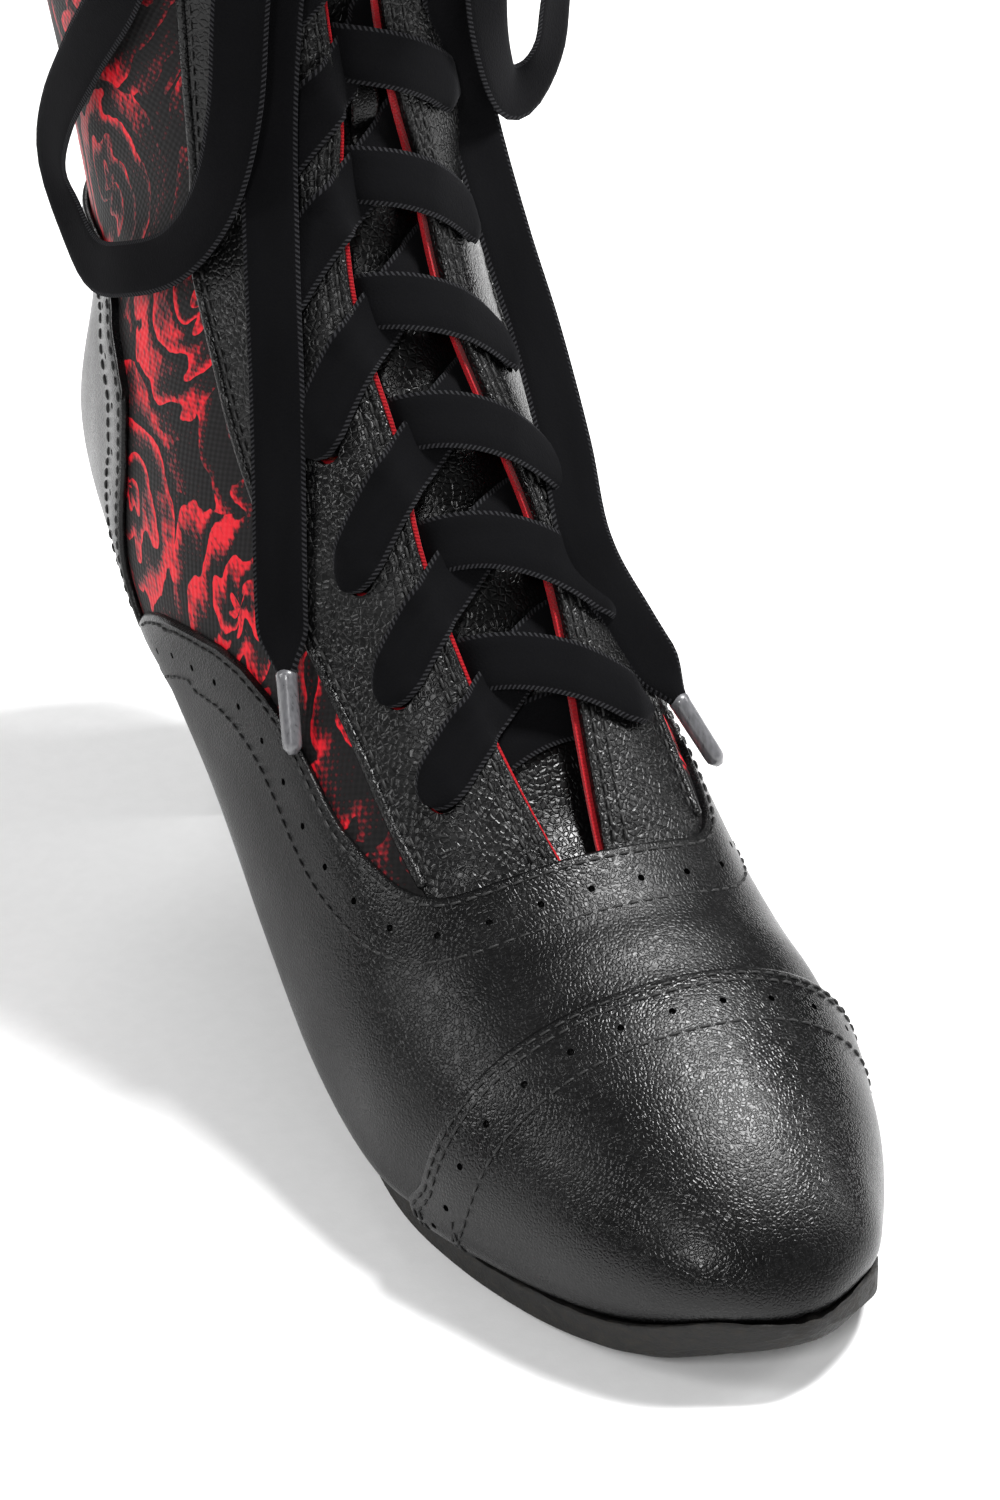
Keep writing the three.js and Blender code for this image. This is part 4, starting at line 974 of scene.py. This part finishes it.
def heel_counter():
    u, angle = counter_grid()
    edges = {side: counter_edge(side) for side in (1, -1)}
    room = room_to(np.concatenate([on_last(*edge) for edge in edges.values()]), on_last(u, angle))
    high = LAP * (1 - ease(2.5 * MM, 12 * MM, room)) - rounded(room) + 0.1 * MM
    made = panel("heel_counter_shell", u, angle, high, UPPER_LOW)

    def inside(side, inset, start, end, height):
        u, angle = smoothed(*moved(*edges[side], -side * inset), 12)
        return u[start:end], angle[start:end], height

    perforate(made, [inside(side, 5.6, 8, -8, 0.6 * MM) for side in edges])
    finish(made, "smooth_leather", replaces=["heel_counter"])
    stitching("heel_counter_stitches", [inside(side, inset, 4, -2, height) for side in edges
                                        for inset, height in ((1.5, LAP), (9.2, 0.3 * MM))])
    for side, name in ((1, "inner"), (-1, "outer")):
        piping = tube(f"counter_piping_{name}", skin(*edges[side], 0.25 * MM), 0.75 * MM, up=outward(*edges[side]))
        finish(piping, "smooth_leather")


def quarter(side, name):
    u = np.concatenate([np.linspace(5.32, 12.3, 90), np.linspace(12.4, COLLAR_STATION + 0.05, 24)])[:, None]
    front = facing_edge(u) - 0.03
    strip = 1 - (BACK_STRIP - 2 * MM) / half_girth(u, side)
    rear = np.where(u > 12.1, strip, np.minimum(quarter_rear(u) + 0.028, strip))
    rear = np.maximum(rear, front + 0.004)
    angle = at_share(u, front + np.linspace(0, 1, 60) * (rear - front), side)
    made = panel(f"{name}_quarter_cloth", u, angle, -0.45 * MM, UPPER_LOW)
    finish(made, "rose_brocade", replaces=[f"{name}_quarter"])


FACING_TOP = 0.3 * MM


def facing_profile(x):
    """Height of a facing by distance from its inner edge: a folded edge, then stitched grooves."""
    grooves = ((1.9, 0.28, 0.35), (4.1, 0.22, 0.35), (6.2, 0.12, 0.4))
    return 0.12 * MM * (x < 1.4 * MM) - sum(
        deep * MM * np.exp(-((x - at * MM) / (wide * MM)) ** 2) for at, deep, wide in grooves)


def punch_eyelets(piece, side, radius, reach, sides):
    u, distance = np.array([eyelet(row, side) for row in range(EYELET_ROWS)]).T
    angle = at_distance(u, distance)
    cut(piece, on_last(u, angle), outward(u, angle), radius, reach, sides)


def facing(side, name):
    u = np.concatenate([np.linspace(5.12, 5.6, 12), np.linspace(5.66, COLLAR_STATION + 0.05, 120)])
    edge, outer = gap_edge(u, side), facing_edge(u) * half_girth(u, side) * side
    grid, width = u[:, None], (side * (outer - edge))[:, None]
    start = np.array([0, 0.1, 0.3, 0.6, 1.0, 1.4, 1.65, 1.9, 2.15, 2.5, 3.1, 3.7, 3.9, 4.1, 4.35, 4.8, 5.5, 6.2,
                      6.8]) * MM
    rest = np.concatenate([np.linspace(0.03, 0.95, 26), [0.97, 0.985, 0.994, 1]])
    inset = np.hstack([np.tile(start, (len(u), 1)), start[-1] + rest * (width - start[-1])])
    inset = np.minimum(inset, width)
    angle = at_distance(grid, edge[:, None] + side * inset)
    top = vamp_top(angle)
    room = np.linalg.norm(on_last(grid, angle) - on_last(top, angle), axis=2) * np.sign(grid - top)
    sunk = 0.55 * MM * (1 - ease(-1 * MM, 6 * MM, room))
    edge_room = np.minimum(inset, np.maximum(width - inset, 0))
    high = (FACING_TOP - sunk) + facing_profile(inset) - rounded(edge_room, 0.6 * MM)
    made = panel(f"{name}_facing_leather", grid, angle, high, -1.25 * MM)
    punch_eyelets(made, side, 2.75 * MM, (-3 * MM, 3 * MM), 24)
    finish(made, "grained_leather", replaces=[f"{name}_facing"])

    inside = u > vamp_top(at_distance(u, edge + side * 3 * MM)) + 0.03
    clear = u > vamp_top(at_distance(u, outer)) + 0.04

    def line(keep, distance):
        return u[keep], at_distance(u, distance)[keep]

    stitching(f"{name}_facing_stitches", [
        (*line(inside, edge + side * 1.9 * MM), FACING_TOP - 0.2 * MM),
        (*line(inside, edge + side * 4.1 * MM), FACING_TOP - 0.16 * MM),
        (*line(clear, outer - side * 2.6 * MM), FACING_TOP)])
    bead = skin(*line(clear, outer - side * 0.7 * MM), 0)
    bead = tube(f"{name}_facing_bead", bead, 0.95 * MM, sides=10, up=outward(*line(clear, outer)))
    finish(bead, "grained_leather")


def lining(side, name):
    u = np.linspace(5.0, COLLAR_STATION + 0.1, 90)[:, None]
    edge = gap_edge(u, side) - side * 0.75 * MM
    far = side * 0.998 * half_girth(u, side)
    distance = edge + np.linspace(0, 1, 44) * (far - edge)
    angle = at_distance(u, distance)
    angle = np.where(u > SEAT_CLOSES, angle, np.clip(angle, -MARGIN, MARGIN))
    sunk = ease(1.2 * MM, 5 * MM, side * (distance - edge))
    made = panel(f"{name}_lining_cloth", u, angle, -1.7 * MM - 0.95 * MM * sunk, -2.5 * MM - 1.2 * MM * sunk)
    punch_eyelets(made, side, 2.3 * MM, (-8 * MM, 3 * MM), 20)
    finish(made, "red_lining", replaces=[f"{name}_lining"])


def vamp_lining():
    u, angles = np.linspace(0, 5.05, 30)[:, None], np.linspace(-MARGIN, MARGIN, 49)
    finish(panel("vamp_lining_cloth", u, angles, -2.9 * MM, -3.8 * MM), "red_lining", replaces=["vamp_lining"])


def back_strip():
    u = np.concatenate([np.linspace(11.95, 12.2, 5), np.linspace(12.3, COLLAR_STATION + 0.05, 40)])[:, None]
    across = np.concatenate([[0, 0.006, 0.02], np.linspace(0.05, 0.95, 15), [0.98, 0.994, 1]])
    x = (across * 2 - 1) * BACK_STRIP
    beside = lambda u, x: math.pi + x / half_girth(u, 1) * math.pi
    high = 0.35 * MM - rounded(BACK_STRIP - np.abs(x), 0.6 * MM)
    made = panel("back_strip_leather", u, beside(u, x), high, UPPER_LOW)
    finish(made, "smooth_leather", replaces=["back_strip"])
    u = u[u > 12.15]
    stitching("back_strip_stitches", [(u, beside(u, side * (BACK_STRIP - 1.6 * MM)), 0.35 * MM) for side in (-1, 1)])


def collar():
    """Binding folded over the top edge, with a row of stitches."""
    start = at_distance(SHAFT_TOP, gap_edge(SHAFT_TOP, 1))
    end = at_distance(SHAFT_TOP, gap_edge(SHAFT_TOP, -1)) + 2 * math.pi
    angle = np.linspace(float(start), float(end), 160)
    profile = [(15.72, -3.7), (15.8, -3.95), (15.9, -3.95), (15.965, -3.6), (15.995, -2.7), (16.0, -1.7),
               (15.995, -0.7), (15.965, 0.3), (15.9, 0.62), (15.8, 0.62), (15.73, 0.5), (15.715, 0.1), (15.72, -1.7)]
    rings = np.stack([skin(u, angle, height * MM) for u, height in profile], 1)
    finish(stacked("collar_binding_leather", rings, 60), "smooth_leather", replaces=["collar_binding"])
    stitching("collar_stitches", [(np.full(160, 15.78), angle, 0.62 * MM)])


# --- tongue and lacing
EYELET_ROWS = 10
EYELET_INSET = 12
FIRST_EYELET = {-1: 108, 1: 117}
EYELET_PITCH = 20.6
LACE_UNDER = -5.0
TONGUE_ROOT, TONGUE_FACE = -4.8, -6.3
TONGUE_HALF = 21 * MM


def eyelet(row, side):
    """Station and distance round the section of an eyelet hole."""
    u = float(station_at((FIRST_EYELET[side] + EYELET_PITCH * row) * MM))
    return u, float(gap_edge(u, side)) + side * EYELET_INSET * MM


def tongue():
    u = np.concatenate([np.linspace(4.85, 16.2, 120), [16.3, 16.4, 16.45, 16.48, 16.5]])
    x = np.concatenate([[0, 0.01, 0.03], np.linspace(0.06, 0.94, 36), [0.97, 0.99, 1]]) * 2 - 1
    half = TONGUE_HALF * (1 - 0.25 * ease(16.0, 16.5, u) ** 3)
    grid = u[:, None]
    angle = at_distance(grid, gap_shift(grid) * MM + x * half[:, None])
    face = (TONGUE_ROOT + (TONGUE_FACE - TONGUE_ROOT) * ease(5.1, 5.55, grid)) * MM
    rim = np.minimum((1 - np.abs(x)) * TONGUE_HALF, (16.5 - grid) * 17 * MM)
    made = panel("tongue_leather", grid, angle, face - rounded(rim, 0.6 * MM), face - 1.3 * MM)
    finish(made, "grained_leather", replaces=["tongue"])
    keep = u > 5.6
    stitching("tongue_stitches", [
        (u[keep], at_distance(u, gap_shift(u) * MM + side * (half - 2 * MM))[keep], TONGUE_FACE * MM)
        for side in (-1, 1)])


def lace_keeper():
    """A narrow strap on the tongue, lying flat at both ends and arched between, that the laces run beneath."""
    t = np.linspace(0, 1, 40)[:, None]
    u = 10.55 + t * 0.95
    arch = 2.5 * np.sin(math.pi * np.clip((t - 0.12) / 0.76, 0, 1)) ** 0.7
    angle = at_distance(u, np.linspace(-3.1, 3.1, 15) * MM + 1.6 * MM)
    high = (TONGUE_FACE + 1.0 + arch - 0.5 * np.linspace(-1, 1, 15) ** 6) * MM
    made = panel("lace_keeper_strap", u, angle, high, high - 0.9 * MM)
    finish(made, "cap_leather", "grained_leather", replaces=["tongue_lace_keeper"])


LACE_WIDTH = 9.5
# Heights in millimetres of a lace's middle over the last, by place across the gap: -1 is the
# facing edge that it comes from and 1 the one it dives under.
LOWER_LACE = through([
    (-6, 1.5), (-1.3, 1.5), (-1.0, 1.2), (-0.6, -1.2), (0, -2.9), (0.5, -4.0), (0.85, -4.6), (1.3, LACE_UNDER),
    (6, LACE_UNDER),
])
UPPER_LACE = through([
    (-6, 1.5), (-1.3, 1.5), (-0.7, 1.35), (0, 0.7), (0.5, -0.3), (0.8, -1.6), (1.0, -3.4), (1.25, LACE_UNDER),
    (6, LACE_UNDER),
])


def between(start, end, t):
    """Stations and distances on the straight way between two places."""
    (u0, d0), (u1, d1) = start, end
    return u0 + (u1 - u0) * t, d0 + (d1 - d0) * t


def lace_hop(start, end, side):
    """One crossing as points, width directions, widths and crowns."""
    t = np.concatenate([np.linspace(0, 0.11, 16), np.linspace(0.13, 1, 40)])
    u, d = between(start, end, t)
    place = (d - gap_shift(u) * MM) / (-side * half_gap(u) * MM)
    run = t * 40.0 + 0.15
    height = (LOWER_LACE if side < 0 else UPPER_LACE)(place) - 0.75 * (1 - ease(0, 4, run))
    width = LACE_WIDTH * np.sqrt(np.clip(1 - (1 - np.clip(run / 4.2, 0, 1)) ** 2.4, 0, 1)) - 4.0 * ease(0.88, 1.0, t)
    crown = 1.0 * (1 - ease(1, 11, run)) + 0.12
    angle = at_distance(u, d + side * 2.6 * MM * (1 - t))
    line = skin(u, angle, height * MM)
    line[1:-1] = (line[:-2] + 2 * line[1:-1] + line[2:]) / 4
    return line, slopes(u, angle)[0], width * MM, crown * MM


def lace_stub(hole):
    """The lace's gathered stretch that stands in a hole."""
    u, d = (np.full(12, v) for v in hole)
    angle = at_distance(u, d)
    heights = np.linspace(LACE_UNDER + 0.3, 0.9, 12) * MM
    return tube("lace_stub", skin(u, angle, heights), 1.75 * MM, sides=10, up=slopes(u, angle)[0])


def lacing():
    pieces = []
    for first, name in ((-1, "outer"), (1, "inner")):
        for row in range(EYELET_ROWS - 1):
            side = first * (-1) ** row
            line, along, width, crown = lace_hop(eyelet(row, side), eyelet(row + 1, -side), side)
            pieces.append(ribbon(f"lace_{name}_{row + 1}", line, side * along, width, 0.8 * MM, crown))
    pieces.append(bottom_bar())
    pieces += [lace_stub(eyelet(row, side)) for row in range(EYELET_ROWS) for side in (-1, 1)]
    pieces += [lace_to_knot(side) for side in (-1, 1)]
    finish(joined(pieces, "lacing_ribbon"), "velvet_ribbon", replaces=["lacing"])


def bottom_bar():
    t = np.linspace(0, 1, 50)
    u, d = between(eyelet(0, -1), eyelet(0, 1), t)
    angle = at_distance(u, d)
    width = (3.8 + 5.2 * ease(0, 0.25, t) * ease(0, 0.25, 1 - t)) * MM
    line = skin(u, angle, (LACE_UNDER + 0.4) * MM)
    return ribbon("lace_bar", line, slopes(u, angle)[0], width, 0.8 * MM, 0.2 * MM)


def lace_to_knot(side):
    """From a top eyelet over the facing to the knot."""
    t = np.linspace(0, 1, 30)
    u, d = between(eyelet(EYELET_ROWS - 1, side), (15.25, side * 5.5 * MM), t)
    angle = at_distance(u, d)
    height = 1.5 + 4.0 * t**2 - 4.5 * (1 - ease(0, 0.14, t))
    width = (4.2 + 4.8 * ease(0.05, 0.4, t) - 2.5 * ease(0.75, 1, t)) * MM
    return ribbon(f"lace_top_{'outer' if side < 0 else 'inner'}", skin(u, angle, height * MM),
                  side * slopes(u, angle)[0], width, 0.8 * MM, 0.5 * MM)


def joined(pieces, name):
    """One object from several meshes, keeping their attributes."""
    work = bmesh.new()
    for piece in pieces:
        work.from_mesh(piece.data)
        bpy.data.objects.remove(piece)
    mesh = bpy.data.meshes.new(name)
    work.to_mesh(mesh)
    work.free()
    return linked(name, mesh, 60)


# --- bottom
FLOOR_HALF = math.pi - MARGIN - 0.03


def sock_lining():
    u, across = np.linspace(1.5, 9.75, 90)[:, None], np.linspace(-0.95, 0.95, 21)
    across = np.concatenate([[-1, -0.985], across, [0.985, 1]])
    made = panel("sock_lining_cloth", u, math.pi + across * FLOOR_HALF, -7.3 * MM, -8.8 * MM)
    finish(made, "sock_cloth", replaces=["sock_lining"])


SOLE_GAP, THICK, TREAD_FLAT, PROUD = (v * MM for v in (0.3, 4.0, 1.2, 1.6))
HEEL_BACK, HEEL_ROUND_START, SEAT_WIDTH = (v * MM for v in (166.5, 122, 52))
TOP_PIECE, TIP_WIDTH, TIP_BACK, TIP_FRONT = (v * MM for v in (6, 24, 160, 127))
BREAST_TOP, HEEL_X, TIP_RADIUS = (v * MM for v in (104, -2, 13))
sole_share = through([(0, 1), (1, 0.97), (3, 0.92), (4, 0.9), (5, 0.87), (6, 0.82), (7, 0.76), (8, 0.7), (9, 0.78)])


def outsole():
    """The outsole, narrower than the CAD plate: it cups up round the upper, with a rough, bevelled edge."""
    rows = np.concatenate([np.linspace(0, 0.2, 30)[:-1], np.linspace(0.2, 1, 90)])[:, None]
    u = 9.98 * np.sin(rows * math.pi / 2) ** 1.15
    p = np.moveaxis(station(u), -1, 0)
    y = p[2] - PROUD * np.exp(-1.3 * u)
    bulge = p[5] * sole_share(u) + PROUD * (1 - np.exp(-2.5 * u)) * np.exp(-u / 1.5)
    share = np.clip((y - HEEL_ROUND_START) / (HEEL_BACK - HEEL_ROUND_START), 0, 1)
    seat = np.minimum(SEAT_WIDTH / 2 * (1 - share**2.4) ** (1 / 2.4), bulge)
    half = np.where(y > HEEL_ROUND_START, seat, bulge)
    top = p[3] - SOLE_GAP
    base = np.maximum(0.0, top - THICK - TREAD_FLAT * np.exp(-((u - 4.5) ** 2)))
    across = np.concatenate([[-1, -0.996], np.linspace(-0.985, 0.985, 41), [0.996, 1]])
    x = p[4] + across * half
    cup = on_last(np.maximum(u, 0.15), np.linspace(math.pi * 0.6, math.pi * 1.4, 121))[:, ::-1]
    lift = np.stack([np.interp(x[k], cup[k, :, 0], cup[k, :, 2]) - p[3, k] for k in range(len(u))])
    lift = np.clip(lift - 0.35 * MM, 0, 3.4 * MM)
    room = (1 - np.abs(across)) * half
    drop = 0.75 * rounded(room, 0.8 * MM)
    bevel = (1.6 * MM + lift * 0.9) * (1 - ease(0, 3.5 * MM, room)) * np.clip((8.6 - u) / 0.8, 0, 1)
    rough = 0.12 * MM * np.sin(np.arange(len(u)) * 1.9)[:, None] * (room < 1 * MM)
    upper = np.stack(spread(x + rough * np.sign(across), y, top + lift - drop), -1)
    lower = np.stack(spread(x, y, base + np.minimum(drop + bevel, (top - base) * 0.6)), -1)
    finish(shell("outsole_leather", upper, lower), "sole_rubber", replaces=["outsole"])


def heel_section(v):
    """The heel's half width, front and back at a share of its height."""
    waist = math.sin(math.pi * min(v / 0.9, 1)) * 3.2 * MM
    flare, sweep = v**2.2, v**1.6
    return ((TIP_WIDTH / 2) * (1 - flare) + (SEAT_WIDTH / 2 - 1 * MM) * flare - waist * 0.6,
            TIP_FRONT * (1 - flare) + BREAST_TOP * flare + waist * 0.5,
            TIP_BACK * (1 - sweep) + (HEEL_BACK - 3 * MM) * sweep - waist)


def heel_plan(a, b, section):
    """Places on one section, for shares across (a) and from front to back (b)."""
    half, front, back = section
    across, deep = 2 * a - 1, 2 * b - 1
    x = half * across * np.sqrt(1 - np.where(deep > 0, 0.55, 0.12) * deep * deep)
    sweep = np.where(deep > 0, np.sqrt(1 - 0.5 * across**2), 1 - 0.08 * across**2)
    middle = front * 0.55 + back * 0.45
    return HEEL_X + x, middle + np.where(deep > 0, back - middle, middle - front) * deep * sweep


def heel_outline(v, inset=0.0):
    """The outline of the heel at a height share, drawn in by an inset, as a closed loop."""
    s = np.arange(18) / 18
    one, zero = np.ones(18), np.zeros(18)
    a, b = np.concatenate([s, one, 1 - s, zero]), np.concatenate([zero, s, one, 1 - s])
    outline = np.stack(heel_plan(a, b, heel_section(v)), -1)
    middle = outline.mean(0)
    return middle + (outline - middle) * (1 - inset / TIP_RADIUS)


def seat_height(y):
    u = np.linspace(7, 10, 200)
    p = station(u)
    return np.interp(y, p[:, 2], p[:, 3]) - SOLE_GAP - THICK - SOLE_GAP


def heel_block():
    loops = []
    for v in np.concatenate([[0, 0.004, 0.012], np.linspace(0.03, 0.97, 44), [0.99, 1.0]]):
        xy = heel_outline(v, 0.6 * MM * max(0, 1 - v / 0.012) ** 2)
        z = (TOP_PIECE + SOLE_GAP) * (1 - v) + (seat_height(xy[:, 1]) - 0.1 * MM) * v
        loops.append(np.column_stack([xy, z]))
    finish(stacked("heel_block_cover", loops, 40), "smooth_leather", "heel_cover", ["heel_block"])
    # A seam down the back of the covering, where its two edges meet.
    line = np.array([loop[np.argmax(loop[:, 1])] for loop in loops[3:-2]]) + np.array([0, 0.15 * MM, 0])
    line[:, 0] = HEEL_X
    finish(tube("heel_cover_seam", line, 0.4 * MM, up=(0, 1.0, 0.1)), "smooth_leather", "heel_cover")


def heel_top_piece():
    height = TOP_PIECE / MM
    profile = ((0.0, 0.6), (0.15, 0.25), (0.5, 0), (height - 0.5, 0), (height - 0.1, 0.3), (height, 0.5))
    outlines = [(heel_outline(0, inset * MM), z * MM) for z, inset in profile]
    loops = [np.column_stack([xy, np.full(len(xy), z)]) for xy, z in outlines]
    finish(stacked("heel_top_piece_rubber", loops, 40), "sole_rubber", replaces=["heel_top_piece"])


# --- kept pieces and stage
def kept_nodes():
    """The hidden pieces that show as the CAD has them."""
    for node, material in (("toe_puff", "stiff_board"), ("heel_stiffener", "stiff_board"),
                           ("insole_board", "stiff_board"), ("forepart_filler", "cork"), ("steel_shank", "steel")):
        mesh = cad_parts[node].data
        mesh.materials.clear()
        mesh.materials.append(MATERIALS[material])


def fasteners():
    """The screw and nails that hold the heel, with flat heads sunk in the insole board."""
    for node, u, across, reach, radius in (
            ("heel_screw", 9.4, 0, 24, 2.2), ("heel_nail_1", 9.2, 9, 10, 0.9), ("heel_nail_2", 9.2, -9, 10, 0.9),
            ("heel_nail_3", 9.6, 7, 10, 0.9), ("heel_nail_4", 9.6, -7, 10, 0.9)):
        depth = np.array([-6.1, -5.5, -5.0, reach - 3, reach - 0.2, reach])[:, None] * MM
        line = on_last(u, math.pi) + np.array([across * MM, 0, 0]) + outward(u, math.pi) * depth
        made = tube(f"{node}_steel", line, np.array([1, 1, 0.9, 0.9, 0.5, 0.2]) * radius * MM, sides=12)
        finish(made, "steel", replaces=[node])


def stage():
    floor = mesh_object("floor", [(-3, -3, 0), (3, -3, 0), (3, 3, 0), (-3, 3, 0)], [[0, 1, 2, 3]], tidy=False)
    floor.data.materials.append(plain("floor_paper", (0.93, 0.93, 0.93), (0.91, 0.91, 0.91), 300.0, 0.9))
    world = bpy.data.worlds.new("studio")
    bpy.context.scene.world = world
    bpy.context.scene.view_settings.view_transform = "Standard"
    world.use_nodes = True
    world.node_tree.nodes["Background"].inputs[0].default_value = (1, 1, 1, 1)
    world.node_tree.nodes["Background"].inputs[1].default_value = 0.17
    for name, place, size, power in (
            ("key", (0.5, -0.05, 1.15), (0.2, 0.26), 25),
            ("front", (-0.62, -0.95, 0.95), (0.12, 0.4), 9),
            ("left", (-1.3, 0.35, 0.9), (0.3, 0.8), 10),
            ("back", (0.2, 1.35, 1.2), (0.9, 0.4), 9),
            ("right", (1.3, -0.3, 0.8), (0.25, 0.6), 6)):
        data = bpy.data.lights.new(name, "AREA")
        data.energy, data.shape, data.size, data.size_y = power, "RECTANGLE", *size
        made = in_scene(bpy.data.objects.new(name, data))
        made.location = place
        aim = Vector((0, 0.05, 0.1)) - made.location
        made.rotation_euler = aim.to_track_quat("-Z", "Y").to_euler()


# --- build
camera()
make_materials()
bow_and_tails()
toe_cap()
vamp()
heel_counter()
back_strip()
collar()
for side, name in ((-1, "lateral"), (1, "medial")):
    quarter(side, name)
    facing(side, name)
    lining(side, name)
vamp_lining()
tongue()
lace_keeper()
lacing()
sock_lining()
outsole()
heel_block()
heel_top_piece()
kept_nodes()
fasteners()
stage()
